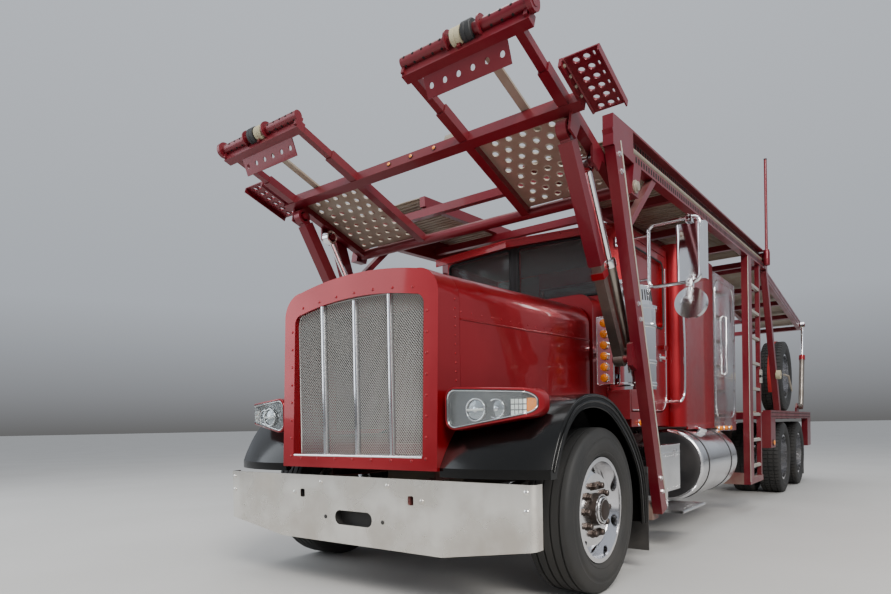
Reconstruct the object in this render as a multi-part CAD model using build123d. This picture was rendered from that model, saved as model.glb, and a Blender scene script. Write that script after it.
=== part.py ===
from build123d import *
import math
import os

os.makedirs("parts", exist_ok=True)

# Car transporter truck, millimetres. The truck faces -Y, its left side is +X.
# Every Y below is measured from the front axle; save() shifts the finished
# pieces so that the origin lies on the ground under the middle of the truck.

# Rear end of the truck
REAR_TIP = 8640.0

# Wheels and axles
TYRE_R = 475.0
TYRE_W = 275.0
BEAD_R = 290.0
RIM_LIP_R = 302.0
FRONT_WHEEL_X = 1052.0
KINGPIN_X = 930.0
REAR_AXLES_Y = (6087.0, 7420.0)
DUAL_OUTER_X = 1062.0
DUAL_SPACING = 340.0
LUG_COUNT = 10
LUG_CIRCLE_R = 142.0
LUG_R = 16.0
HUB_R = 88.0
HAND_HOLE_CIRCLE_R = 232.0
HAND_HOLE_R = 24.0
FRONT_FACE = 75.0
FRONT_SEAT = 25.0
FRONT_HUB_END = 118.0
REAR_FACE = -138.0
REAR_SEAT = -88.0
REAR_HUB_END = -30.0
YOKE_R = 36.0
YOKE_Z0 = 400.0
SPINDLE_END_X = 1040.0

# Chassis frame
RAIL_OUT_X = 430.0
RAIL_W = 80.0
RAIL_WALL = 9.0
RAIL_Z0 = 660.0
RAIL_Z1 = 930.0
RAIL_FRONT_Y = -600.0
RAIL_REAR_Y = 8330.0

# Front bumper
BUMPER_FACE_Y = -836.0
BUMPER_BACK_Y = -761.0
BUMPER_HALF = 1195.0
BUMPER_CORNER_R = 30.0
BUMPER_TOP = 688.0
BUMPER_LOW_MID = 290.0
BUMPER_LOW_END = 375.0
BUMPER_KINK_X = 644.0
BUMPER_PLATE = 8.0
TOW_HOLE_X = 440.0
TOW_HOLE_Z = 573.0
TOW_HOLE_HALF = (20.0, 25.0)
CABLE_SLOT_HALF = 150.0
CABLE_SLOT_Z = 444.0
CABLE_SLOT_R = 40.0

# Hood, grille and fenders
SHELL_FRONT_Y = -835.0
SHELL_BACK_Y = -612.0
SHELL_LEAN = 46.0
SHELL_HALF = 623.0
SHELL_Z0 = 735.0
SHELL_TOP = 1872.0
SHELL_CORNER_R = 150.0
SHELL_RIM = 97.0
HOOD_REAR_Y = 860.0
HOOD_REAR_HALF = 722.0
HOOD_REAR_TOP = 1890.0
HOOD_WALL = 25.0
FENDER_LINE = [
    (-812, 752), (-762, 832), (-640, 968), (-430, 1090), (-200, 1132), (40, 1096),
    (250, 984), (425, 838), (545, 672), (592, 500), (606, 330),
]
FENDER_FRONT_LOW = 704.0
FENDER_WALL = 20.0
FENDER_LIP = 72.0
FENDER_X1 = 1218.0
FENDER_ROLL_R = 22.0
APRON_X0 = 690.0
APRON_X1 = 740.0
LAMP_POD = [(SHELL_HALF + 27, 1175), (SHELL_HALF + 505, 1150), (SHELL_HALF + 505, 1012),
            (SHELL_HALF + 27, 935)]
LAMP_POD_WALL = 16.0
LAMP_POD_CORNER_R = 62.0

# Cab and sleeper
CAB_HALF = 880.0
CAB_FLOOR = 1000.0
CAB_ROOF = 2500.0
CAB_REAR_Y = 2150.0
CAB_WALL = 42.0
COWL_Y = 885.0
COWL_HALF = 738.0
COWL_TOP = 1925.0
GLASS_MID_Y = 1030.0
GLASS_EDGE_Y = 1135.0
GLASS_EDGE_X = 750.0
GLASS_Z0 = 1965.0
GLASS_Z1 = 2405.0
GLASS_T = 8.0
PILLAR_Y = 1225.0
DOOR_Y0 = 1262.0
DOOR_Y1 = 2098.0
DOOR_Z0 = 1062.0
DOOR_Z1 = 2398.0
DOOR_T = 60.0
DOOR_GAP = 7.0
WINDOW_Y0 = 1340.0
WINDOW_Y1 = 2030.0
WINDOW_Z0 = 1775.0
WINDOW_Z1 = 2330.0
DOOR_CORNER_R = 150.0
STEER_CENTRE = (430.0, 1510.0, 1740.0)
STEER_TILT = 35.0
STEER_R = 225.0
SLEEPER_HALF = 1000.0
SLEEPER_Y0 = 2176.0
SLEEPER_Y1 = 3200.0
SLEEPER_Z0 = 930.0
SLEEPER_TOP = 2530.0
CABINET_Y1 = 4150.0
CABINET_TOP = 2480.0
SKIRT_DROP = 60.0
SKIRT_T = 12.0
SKIRT_STRAP_GAP = 22.0
SKIRT_LAMP_R = 22.0
SKIRT_LAMP_T = 20.0

# Air cleaners with lamp plates, mirrors and tanks
CLEANER_X = 1000.0
CLEANER_Y = 950.0
CLEANER_R = 168.0
LAMP_COUNT = 6
LAMP_PITCH = 76.0
MIRROR_Y = 1165.0
MIRROR_IN_X = 1062.0
MIRROR_OUT_X = 1420.0
MIRROR_Z0 = 1955.0
MIRROR_Z1 = 2405.0
MIRROR_TUBE_R = 13.0
MIRROR_BEND_R = 45.0
TANK_R = 311.0
TANK_X = 880.0
TANK_Z = 600.0
TANK_Y0 = 2060.0
TANK_Y1 = 3300.0
TANK_STRAP = 6.0

# Car carrying rack
RACK_X0 = 1160.0
RACK_X1 = 1225.0
INNER_X0 = 440.0
INNER_X1 = 490.0
DECK_FRONT = (430.0, 2787.0)
DECK_SLOPE = 2.07
DECK_LENGTH = 4200.0
DECK_DEPTH = 205.0
DECK_BEAMS = 5
DECK_BEAM_IN = 20.0
BEAM_W = 60.0
LEG_TOP = (150.0, 2700.0)
LEG_FOOT = (930.0, 360.0)
LEG_DEPTH = 105.0
POST_Y0 = 3720.0
POST_Y1 = 3900.0
LADDER_Y1 = 4400.0
RUNG_COUNT = 8
RUNG_Z0 = 480.0
RUNG_PITCH = 280.0
RUNG_T = 30.0
POLE_FROM_END = 30.0
POLE_R = 16.0
POLE_SOCKET_R = 30.0
POLE_TOP = 3985.0
OUTRIGGER_Y = 870.0
OUTRIGGER_W = 120.0
OUTRIGGER_Z0 = 300.0
OUTRIGGER_Z1 = 420.0

# Head ramp over the hood, with its two sliding ends
HEAD_PIVOT = (450.0, 2440.0)
HEAD_SLOPE = 18.8
HEAD_LENGTH = 768.0
HEAD_BAR = 70.0
HEAD_HALF = 1215.0
SLEEVE = 60.0
SLEEVE_WALL = 6.0
SLEEVE_END_U = 1040.0
SLEEVE_IN_X = 466.0
SLEEVE_OUT_X = 1120.0
FLY_PLAY = 1.5
FLY_TAIL_U = 560.0
FLY_BEAM_U0 = 1290.0
FLY_BEAM_U1 = 1345.0
FLY_TUBE_R = 30.0

# Side flaps of the head ramp, and the holes in its plates
FLAP_X0 = 1232.0
FLAP_X1 = 1412.0
FLAP_V = 20.0
FLAP_U0 = 640.0
FLAP_U1 = 1030.0
PLATE_HOLE_R = 22.5
PLATE_PITCH_X = 95.0
PLATE_PITCH_U = 80.0
FLAP_HOLE_R = 17.0
LIP_HOLE_R = 15.0

# Pins, eyes and their clearances
PIN_R = 24.0
EYE_R = 46.0
EYE_SLACK = 11.0
HINGE_PIN_R = 22.0
HEAD_TUBE_R = 38.0
HEAD_TUBE_HALF = RACK_X0 - 10.0
FIT = 1.0

# Struts: each has a pin on the rack's leg and an eye at the ramp
STRUT_X = 1092.0
LEG_PIN = (500.0, 1380.0)
LEG_EYE = (-248.0, 2577.0)
LIFT_PIN = (655.0, 1455.0)
LIFT_EYE = (28.0, 2484.0)

# Rear ramp over the rear axles, with its lift cylinders
REAR_PIVOT_BACK = 127.5
REAR_PIVOT_DROP = 143.5
REAR_SLOPE = -5.6
REAR_LENGTH = 3330.0
REAR_RAIL_HALF = 60.0
REAR_BEAMS = 4
REAR_BEAM_IN = 30.0
REAR_LIFT_PIN = (7600.0, 1180.0)
REAR_EYE_IN = 170.0
REAR_EYE_DROP = 20.0
REAR_LIFT_X = 1195.0
EAR_X0 = STRUT_X + 44.0
EAR_X1 = EAR_X0 + 14.0

# Lower deck over the rear axles
LOWER_Y0 = 4900.0
LOWER_Y1 = 8420.0
LOWER_TOP = 1095.0

# Hitch behind the axles
HITCH_HALF = 170.0
HITCH_Z0 = 330.0
HITCH_Z1 = 430.0
HITCH_BORE_R = 38.0
HITCH_BORE_BACK = 110.0


def block(x0, x1, y0, y1, z0, z1):
    """A box between two corners."""
    size = (x1 - x0, y1 - y0, z1 - z0)
    middle = ((x0 + x1) / 2, (y0 + y1) / 2, (z0 + z1) / 2)
    return Pos(*middle) * Box(*size)


def side_block(side, x0, x1, y0, y1, z0, z1):
    """A box on one side of the truck: side is -1 or 1."""
    if side > 0:
        return block(x0, x1, y0, y1, z0, z1)
    return block(-x1, -x0, y0, y1, z0, z1)


def side_plate(points, x0, x1):
    """A side-view outline of (Y, Z) points, extruded across from x0 to x1."""
    face = make_face(Plane.YZ * Polyline(*points, close=True))
    return Pos(x0, 0, 0) * extrude(face, x1 - x0, dir=(1, 0, 0))


def plan_plate(points, z0, z1):
    """A plan-view outline of (X, Y) points, extruded up from z0 to z1."""
    face = make_face(Polyline(*points, close=True))
    return Pos(0, 0, z0) * extrude(face, z1 - z0, dir=(0, 0, 1))


def bar(start, end, depth, x0, x1):
    """A straight bar in side view between two (Y, Z) points, x0 to x1 wide."""
    dy = end[0] - start[0]
    dz = end[1] - start[1]
    length = math.hypot(dy, dz)
    ny = -dz / length * depth / 2
    nz = dy / length * depth / 2
    points = [
        (start[0] + ny, start[1] + nz),
        (end[0] + ny, end[1] + nz),
        (end[0] - ny, end[1] - nz),
        (start[0] - ny, start[1] - nz),
    ]
    return side_plate(points, x0, x1)


def round_bar(start, end, radius):
    """A round bar between two (X, Y, Z) points."""
    a = Vector(*start)
    b = Vector(*end)
    plane = Plane(origin=a, z_dir=b - a)
    return extrude(plane * Circle(radius), (b - a).length)


def cross_tube(y, z, radius, x0, x1):
    """A round tube or pin lying across the truck."""
    return round_bar((x0, y, z), (x1, y, z), radius)


def along(start, end, distance):
    """The (Y, Z) point that lies a distance from start towards end."""
    span = math.hypot(end[0] - start[0], end[1] - start[1])
    share = distance / span
    return (start[0] + (end[0] - start[0]) * share, start[1] + (end[1] - start[1]) * share)


def mirrored(shape):
    """The same piece on the other side of the truck."""
    return mirror(shape, about=Plane.YZ)


def both(shape):
    """A piece and its twin on the other side, fused or side by side."""
    return shape + mirrored(shape)


def save(name, shape):
    """Write one node, shifted to the origin under the truck's middle."""
    solids = [s.moved(Location((0, SHIFT_Y, 0))) for s in shape.solids()]
    whole = solids[0] if len(solids) == 1 else Compound(children=solids)
    export_step(whole, f"parts/{name}.step")


def save_pair(name, left):
    """Write a left piece and its mirrored right twin as two nodes."""
    save(f"{name}_left", left)
    save(f"{name}_right", mirrored(left))


def revolved(points, axis_x, y, z):
    """A (radius, X) outline turned about a crosswise axis at y, z."""
    outline = [(axis_x + x, r) for r, x in points]
    face = make_face(Plane.XY * Polyline(*outline, close=True))
    return Pos(0, y, z) * revolve(face, Axis.X)


def tyre(x, y, z):
    """A road tyre: flat tread, round shoulders, bulged walls, open bore."""
    half = TYRE_W / 2
    shoulder = 30.0
    outline = [
        (BEAD_R, -half + 34),
        (RIM_LIP_R + 2, -half + 34),
        (RIM_LIP_R + 10, -half + 14),
        (BEAD_R + 90, -half),
        (TYRE_R - shoulder, -half + 8),
        (TYRE_R - 6, -half + 26),
        (TYRE_R, -half + 48),
        (TYRE_R, half - 48),
        (TYRE_R - 6, half - 26),
        (TYRE_R - shoulder, half - 8),
        (BEAD_R + 90, half),
        (RIM_LIP_R + 10, half - 14),
        (RIM_LIP_R + 2, half - 34),
        (BEAD_R, half - 34),
    ]
    return revolved(outline, x, y, z)


def rim_barrel(x, y, z):
    """The rim's barrel with a lip at each end."""
    half = TYRE_W / 2
    wall = 12.0
    return revolved(
        [
            (BEAD_R - wall, -half + 24),
            (RIM_LIP_R, -half + 24),
            (RIM_LIP_R, -half + 33),
            (BEAD_R - 1, -half + 33.5),
            (BEAD_R - 1, half - 33.5),
            (RIM_LIP_R, half - 33),
            (RIM_LIP_R, half - 24),
            (BEAD_R - wall, half - 24),
        ],
        x, y, z,
    )


def disc_wheel(x, y, z, face, seat, hub_end):
    """A forged disc wheel: its bolted face, its seat on the rim and its hub."""
    thick = 22.0
    bend = 205.0
    inside = BEAD_R - 11
    disc = revolved(
        [
            (HUB_R - 8, face - thick),
            (bend - 5, face - thick),
            (inside, seat - thick / 2),
            (inside, seat + thick / 2),
            (bend, face),
            (HUB_R - 8, face),
        ],
        x, y, z,
    )
    wheel = rim_barrel(x, y, z) + disc
    wheel += cross_tube(y, z, HUB_R, x + face - 60, x + hub_end)
    wheel += cross_tube(y, z, HUB_R - 26, x + hub_end, x + hub_end + 16)
    for n in range(LUG_COUNT):
        turn = 2 * math.pi * n / LUG_COUNT
        ly = y + LUG_CIRCLE_R * math.cos(turn)
        lz = z + LUG_CIRCLE_R * math.sin(turn)
        wheel += cross_tube(ly, lz, LUG_R, x + face - 2, x + face + 30)
    for n in range(LUG_COUNT):
        turn = 2 * math.pi * (n + 0.5) / LUG_COUNT
        hy = y + HAND_HOLE_CIRCLE_R * math.cos(turn)
        hz = z + HAND_HOLE_CIRCLE_R * math.sin(turn)
        wheel -= cross_tube(hy, hz, HAND_HOLE_R, x - TYRE_W / 2, x + TYRE_W / 2)
    return wheel


def front_wheels():
    """Steered wheels: a single tyre and an outset disc on each side."""
    save_pair("front_tyre", tyre(FRONT_WHEEL_X, 0, TYRE_R))
    wheel = disc_wheel(FRONT_WHEEL_X, 0, TYRE_R, FRONT_FACE, FRONT_SEAT, FRONT_HUB_END)
    save_pair("front_wheel", wheel)


def rear_wheels():
    """Twin wheels on two driven axles, each pair one turning set."""
    inner_x = DUAL_OUTER_X - DUAL_SPACING
    mount_x = DUAL_OUTER_X + REAR_FACE
    for number, y in enumerate(REAR_AXLES_Y, start=1):
        tyres = tyre(DUAL_OUTER_X, y, TYRE_R) + tyre(inner_x, y, TYRE_R)
        save_pair(f"rear_tyres_{number}", tyres)
        wheels = disc_wheel(DUAL_OUTER_X, y, TYRE_R, REAR_FACE, REAR_SEAT, REAR_HUB_END)
        wheels += rim_barrel(inner_x, y, TYRE_R)
        wheels += cross_tube(y, TYRE_R, 195, mount_x - 60, mount_x - 22)
        wheels += revolved(
            [(150, 132), (195, 132), (BEAD_R - 11, 70), (BEAD_R - 11, 95), (200, 154), (150, 154)],
            inner_x, y, TYRE_R,
        )
        wheels += cross_tube(y, TYRE_R, 190, inner_x - 40, mount_x - 60)
        save_pair(f"rear_wheels_{number}", wheels)


def front_axle():
    """Dropped beam with kingpin ends, under two leaf spring packs."""
    beam_z0, beam_z1 = 375.0, 470.0
    axle = block(-760, 760, -55, 55, beam_z0, beam_z1)
    yoke_inside = KINGPIN_X - YOKE_R - 10
    leaf_half = 38.0
    leaves = [(-500, 640), (-280, 570), (0, 535), (330, 565), (700, 640)]
    under = [(y, z - 40) for y, z in reversed(leaves)]
    for s in (-1, 1):
        axle += side_block(s, 700, yoke_inside, -50, 50, YOKE_Z0, 515)
        centre = s * 400
        axle += side_plate(leaves + under, centre - leaf_half, centre + leaf_half)
        axle += block(centre - 50, centre + 50, -90, 90, beam_z1, 500)
        for y in (-500, 700):
            axle += block(centre - 30, centre + 30, y - 25, y + 25, 600, RAIL_Z0)
    save("front_axle", axle)


def knuckles():
    """Steering knuckles: round kingpin boss, brake drum, spindle and arm."""
    boss = Pos(KINGPIN_X, 0, 458) * Cylinder(YOKE_R, 204)
    drum_x0 = KINGPIN_X + 34
    drum = cross_tube(0, TYRE_R, 205, drum_x0, drum_x0 + 26)
    link = cross_tube(0, TYRE_R, 60, KINGPIN_X, drum_x0 + 1)
    spindle = cross_tube(0, TYRE_R, 45, drum_x0 + 26, SPINDLE_END_X)
    arm = block(KINGPIN_X - 22, KINGPIN_X + 22, 20, 190, YOKE_Z0 - 42, YOKE_Z0 - 12)
    save_pair("steering_knuckle", boss + drum + link + spindle + arm)


def chassis_frame():
    """Two channel rails and the tubes and plates that join them."""
    rail = block(RAIL_OUT_X - RAIL_W, RAIL_OUT_X, RAIL_FRONT_Y, RAIL_REAR_Y, RAIL_Z0, RAIL_Z1)
    hollow = block(
        RAIL_OUT_X - RAIL_W - 1, RAIL_OUT_X - RAIL_WALL,
        RAIL_FRONT_Y - 1, RAIL_REAR_Y + 1,
        RAIL_Z0 + RAIL_WALL, RAIL_Z1 - RAIL_WALL,
    )
    rails = both(rail - hollow)
    web_x = RAIL_OUT_X - RAIL_WALL / 2
    for y in (-540, 1400, 2700, 3980, 5300, 6750, 7850):
        rails += block(-web_x, web_x, y - 45, y + 45, RAIL_Z0 + 60, RAIL_Z1 - 60)
    arm_y0 = BUMPER_FACE_Y + BUMPER_PLATE
    rails += both(block(350, RAIL_OUT_X, arm_y0, RAIL_FRONT_Y + 60, 430, 600))
    rails += both(block(350, RAIL_OUT_X, RAIL_FRONT_Y, RAIL_FRONT_Y + 60, 600, RAIL_Z0))
    for y in (1500, 2000, 2600, 3100, 3500, 4000):
        top = SLEEPER_Z0 if y > SLEEPER_Y0 else CAB_FLOOR
        if top > RAIL_Z1:
            foot = block(RAIL_OUT_X - 75, RAIL_OUT_X - 5, y - 60, y + 60, RAIL_Z1, top)
            rails += both(foot)
    save("chassis_rails", rails + outriggers())


def engine():
    """Engine as one plain block, and the radiator ahead of it."""
    radiator = block(-440, 440, -540, -420, 960, 1660)
    save("engine_and_radiator", block(-320, 320, -180, 870, 570, 1560) + radiator)


def driveline():
    """Gearbox, shafts and two driven axle beams with their differentials."""
    line = block(-210, 210, 900, 1345, 560, 900)
    first, second = REAR_AXLES_Y
    end_x = DUAL_OUTER_X - DUAL_SPACING - 42
    line += round_bar((0, 1345, 640), (0, first - 230, 520), 55)
    for y in REAR_AXLES_Y:
        line += cross_tube(y, TYRE_R, 75, -end_x, end_x)
        line += Pos(0, y, TYRE_R + 10) * Sphere(225)
        line += round_bar((0, y - 260, 520), (0, y, 490), 80)
    line += round_bar((0, first + 100, 520), (0, second - 200, 520), 50)
    save("driveline", line)


def rear_suspension():
    """Air springs, trailing beams and hangers of the two driven axles."""
    end_x = DUAL_OUTER_X - DUAL_SPACING - 42
    springs = Part()
    for s in (-1, 1):
        for y in REAR_AXLES_Y:
            springs += side_block(s, 345, 455, y - 60, y + 60, 552, 610)
            springs += Pos(s * 400, y + 330, 555) * Cylinder(110, 210)
            springs += side_block(s, 350, 450, y - 420, y + 400, 400, 450)
            springs += side_block(s, 350, 450, y - 420, y - 340, 450, RAIL_Z0)
            springs += side_block(s, 350, 450, y - 60, y + 60, 400, 552)
    for y in REAR_AXLES_Y:
        springs -= cross_tube(y, TYRE_R, 75, -end_x, end_x)
    save("rear_suspension", springs)


def bumper_outline(inset):
    """Front view of the bumper, drawn in by inset on every side."""
    end = BUMPER_HALF - inset
    low = BUMPER_LOW_MID + inset
    low_end = BUMPER_LOW_END + inset
    top = BUMPER_TOP - inset
    return [
        (-end, top), (end, top), (end, low_end),
        (BUMPER_KINK_X, low), (-BUMPER_KINK_X, low), (-end, low_end),
    ]


def bumper_body(inset):
    """The bumper's rounded bulk, cut from its front view and its plan."""
    front = make_face(Plane.XZ * Polyline(*bumper_outline(inset), close=True))
    depth = BUMPER_BACK_Y - BUMPER_FACE_Y + inset
    bulk = Pos(0, BUMPER_FACE_Y + inset, 0) * extrude(front, depth, dir=(0, 1, 0))
    ends = bulk.edges().filter_by(Axis.Z).group_by(Axis.Y)[0]
    return fillet(ends, BUMPER_CORNER_R - inset)


def front_bumper():
    """Polished steel bumper, with two tow holes and a slot."""
    inner = bumper_body(BUMPER_PLATE)
    shell = bumper_body(0) - inner - Pos(0, 0, 2 * BUMPER_PLATE) * inner
    y0 = BUMPER_FACE_Y - 5
    y1 = BUMPER_FACE_Y + 4 * BUMPER_PLATE
    half_x, half_z = TOW_HOLE_HALF
    for x in (-TOW_HOLE_X, TOW_HOLE_X):
        hole = block(x - half_x, x + half_x, y0, y1, TOW_HOLE_Z - half_z, TOW_HOLE_Z + half_z)
        shell -= fillet(hole.edges().filter_by(Axis.Y), half_x / 2)
    slot_z0 = CABLE_SLOT_Z - CABLE_SLOT_R - 2
    slot_z1 = CABLE_SLOT_Z + CABLE_SLOT_R + 2
    slot = block(-CABLE_SLOT_HALF, CABLE_SLOT_HALF, y0, y1, slot_z0, slot_z1)
    shell -= fillet(slot.edges().filter_by(Axis.Y), CABLE_SLOT_R)
    save("front_bumper", shell)


def shell_outline(half, z0, top, corner):
    """Front view of the grille shell or hood: straight sides, round top."""
    crown = 48.0
    side_top = top - crown - corner
    knee = corner * (1 - math.sqrt(0.5))
    lines = [
        Line((-half, z0), (half, z0)),
        Line((half, z0), (half, side_top)),
        ThreePointArc(
            (half, side_top),
            (half - knee, side_top + corner - knee),
            (half - corner, side_top + corner),
        ),
        ThreePointArc(
            (half - corner, side_top + corner),
            (0, top),
            (-half + corner, side_top + corner),
        ),
        ThreePointArc(
            (-half + corner, side_top + corner),
            (-half + knee, side_top + corner - knee),
            (-half, side_top),
        ),
        Line((-half, side_top), (-half, z0)),
    ]
    return make_face(Plane.XZ * Curve(lines))


def grille_shell():
    """Red grille surround, leaning back a little, open in the middle."""
    depth = SHELL_BACK_Y - SHELL_FRONT_Y
    face = shell_outline(SHELL_HALF, SHELL_Z0, SHELL_TOP, SHELL_CORNER_R)
    shell = Pos(0, SHELL_FRONT_Y, 0) * extrude(face, depth, dir=(0, 1, 0))
    lip = SHELL_RIM
    window = shell_outline(SHELL_HALF - lip, SHELL_Z0 + 72, SHELL_TOP - 138, 60)
    shell -= Pos(0, SHELL_FRONT_Y - 5, 0) * extrude(window, depth + 10, dir=(0, 1, 0))
    inner = shell_outline(SHELL_HALF - HOOD_WALL, SHELL_Z0 + HOOD_WALL, SHELL_TOP - HOOD_WALL,
                          SHELL_CORNER_R - HOOD_WALL)
    hollow_y = SHELL_FRONT_Y + SHELL_LEAN + 45
    shell -= Pos(0, hollow_y, 0) * extrude(inner, depth, dir=(0, 1, 0))
    lean_cut = side_plate(
        [
            (SHELL_FRONT_Y - 20, SHELL_Z0 - 1),
            (SHELL_FRONT_Y, SHELL_Z0 - 1),
            (SHELL_FRONT_Y + SHELL_LEAN, SHELL_TOP + 1),
            (SHELL_FRONT_Y - 20, SHELL_TOP + 1),
        ],
        -SHELL_HALF - 1, SHELL_HALF + 1,
    )
    shell -= lean_cut
    save("grille_shell", shell)
    mesh_y = SHELL_FRONT_Y + SHELL_LEAN + 20
    mesh_face = shell_outline(SHELL_HALF - lip - 0.5, SHELL_Z0 + 72.5, SHELL_TOP - 138.5, 60)
    mesh = Pos(0, mesh_y, 0) * extrude(mesh_face, 5, dir=(0, 1, 0))
    bars = Part()
    for x in (-273, 0, 273):
        bars += block(x - 13, x + 13, mesh_y - 32, mesh_y, SHELL_Z0 + 74, SHELL_TOP - 158)
    save("grille_mesh", mesh + bars)


def hood_skin():
    """Long hood lofted from the grille shell back to the cowl, open below."""
    front = shell_outline(SHELL_HALF, SHELL_Z0, SHELL_TOP, SHELL_CORNER_R)
    rear = shell_outline(HOOD_REAR_HALF, 1150, HOOD_REAR_TOP, SHELL_CORNER_R)
    front_in = shell_outline(SHELL_HALF - HOOD_WALL, SHELL_Z0 - 60, SHELL_TOP - HOOD_WALL,
                             SHELL_CORNER_R - HOOD_WALL)
    rear_in = shell_outline(HOOD_REAR_HALF - HOOD_WALL, 1090, HOOD_REAR_TOP - HOOD_WALL,
                            SHELL_CORNER_R - HOOD_WALL)
    outer = loft([Pos(0, SHELL_BACK_Y + 2, 0) * front, Pos(0, HOOD_REAR_Y, 0) * rear])
    inner = loft([Pos(0, SHELL_BACK_Y - 8, 0) * front_in, Pos(0, HOOD_REAR_Y + 10, 0) * rear_in])
    save("hood", outer - inner)


def inward(points, gap):
    """The (Y, Z) points of a line, moved by gap towards the wheel below it."""
    moved = []
    for n, (y, z) in enumerate(points):
        before = points[max(n - 1, 0)]
        after = points[min(n + 1, len(points) - 1)]
        dy = after[0] - before[0]
        dz = after[1] - before[1]
        span = math.hypot(dy, dz)
        moved.append((y + dz / span * gap, z - dy / span * gap))
    return moved


def fender_section(x, set_back, gap, drop):
    """Side view of the fender at x: its nose set back, drawn in by gap."""
    reach = FENDER_LINE[3][0] - FENDER_LINE[0][0]
    line = []
    for y, z in FENDER_LINE:
        share = max(0.0, (FENDER_LINE[3][0] - y) / reach)
        line.append((y + set_back * share, z))
    line = inward(line, gap)
    front_low = (line[0][0], FENDER_FRONT_LOW - drop)
    rear_low = (line[-1][0], FENDER_LINE[-1][1] - drop)
    edges = [Spline(*line)]
    corners = [line[-1], rear_low, (-drop, rear_low[1]), (-drop, front_low[1]), front_low, line[0]]
    corners = [corners[n] for n in range(6) if n == 0 or math.dist(corners[n], corners[n - 1]) > 0.1]
    edges += [Line(a, b) for a, b in zip(corners, corners[1:])]
    plane = Plane(origin=(x, 0, 0), x_dir=(0, 1, 0), z_dir=(1, 0, 0))
    return make_face(plane * Curve(edges))


def fender_bulk(gap, drop, x1):
    """The fender's bulk, lofted across from the grille shell to x1."""
    nose = ((SHELL_HALF + FIT, 0.0), (1100.0, 44.0), (x1, 96.0))
    return loft([fender_section(x, set_back, gap, drop) for x, set_back in nose])


def fenders():
    """Gloss black wheel arches that swing with the hood."""
    fender = fender_bulk(0, 0, FENDER_X1)
    fender -= fender_bulk(FENDER_WALL, 10, FENDER_X1 - FENDER_WALL)
    opening = fender_section(FENDER_X1 - 2 * FENDER_WALL, 96.0, FENDER_LIP, 10)
    fender -= extrude(opening, 3 * FENDER_WALL, dir=(1, 0, 0))
    nose_y, nose_z = FENDER_LINE[0]
    roll_y = nose_y + FENDER_ROLL_R
    roll_z = FENDER_FRONT_LOW + FENDER_ROLL_R
    path = Line((SHELL_HALF + 4, roll_y, roll_z), (1100, roll_y + 44, roll_z))
    fender += sweep(Plane(origin=path @ 0, z_dir=path % 0) * Circle(FENDER_ROLL_R), path=path)
    apron = side_plate(
        [(100, 1090), (240, 950), (430, 800), (580, 560), (596, 700), (590, 1110)],
        APRON_X0, APRON_X1,
    )
    save("fenders", both(fender + apron - hood_bulk() - pod_bulk()))


def hood_bulk():
    """The hood's outer bulk, used to trim what stands against it."""
    front = shell_outline(SHELL_HALF + 1, SHELL_Z0 - 50, SHELL_TOP, SHELL_CORNER_R)
    rear = shell_outline(HOOD_REAR_HALF + 1, 1000, HOOD_REAR_TOP, SHELL_CORNER_R)
    return loft([Pos(0, SHELL_BACK_Y + 2, 0) * front, Pos(0, HOOD_REAR_Y, 0) * rear])



def pod_front(inset, y0, y1):
    """The headlamp pod's front view, drawn in by inset, extruded along Y."""
    middle_x = sum(x for x, z in LAMP_POD) / 4
    middle_z = sum(z for x, z in LAMP_POD) / 4
    points = [
        (x + math.copysign(inset, middle_x - x), z + math.copysign(inset, middle_z - z))
        for x, z in LAMP_POD
    ]
    face = make_face(Plane.XZ * Polyline(*points, close=True))
    face = fillet(face.vertices(), LAMP_POD_CORNER_R - inset)
    return Pos(0, y0, 0) * extrude(face, y1 - y0, dir=(0, 1, 0))


def pod_bulk():
    """The headlamp pod's outer bulk, swept back at its outer end."""
    inner = SHELL_HALF - 23
    outline = [
        (inner, SHELL_BACK_Y - 5), (inner, -800), (inner + 280, -800), (inner + 480, -720),
        (inner + 528, -600), (inner + 528, -540),
    ]
    return plan_plate(outline, 900, 1200) & pod_front(0, -820, -530)


def headlamps():
    """Long headlamp pods: a housing, and two lamps and a lamp row in its bowl."""
    pod = pod_bulk()
    inner = SHELL_HALF - 23
    bowl = [
        (inner, -820), (inner + 600, -820), (inner + 600, -560), (inner + 496, -560),
        (inner + 448, -688), (inner + 266, -760), (inner, -760),
    ]
    pod -= plan_plate(bowl, 900, 1200) & pod_front(LAMP_POD_WALL, -830, -550)
    for x, z, radius in ((inner + 135, 1055, 66), (inner + 272, 1062, 58)):
        pod += round_bar((x, -764, z), (x, -786, z), radius)
    lamp_row = [(inner + 348, -740), (inner + 450, -700), (inner + 440, -680), (inner + 338, -720)]
    pod += plan_plate(lamp_row, 1012, 1122)
    foot = block(SHELL_HALF, inner + 80, -760, -700, 960, 1140) - hood_bulk()
    save("headlamps", both(pod + foot))


def cab_plan(inset):
    """Plan of the cab: flat rear and sides, corner pillars, V-shaped front."""
    return [
        (-CAB_HALF + inset, CAB_REAR_Y - inset),
        (-CAB_HALF + inset, PILLAR_Y + inset),
        (-GLASS_EDGE_X, GLASS_EDGE_Y + inset),
        (0, GLASS_MID_Y + inset),
        (GLASS_EDGE_X, GLASS_EDGE_Y + inset),
        (CAB_HALF - inset, PILLAR_Y + inset),
        (CAB_HALF - inset, CAB_REAR_Y - inset),
    ]


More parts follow.
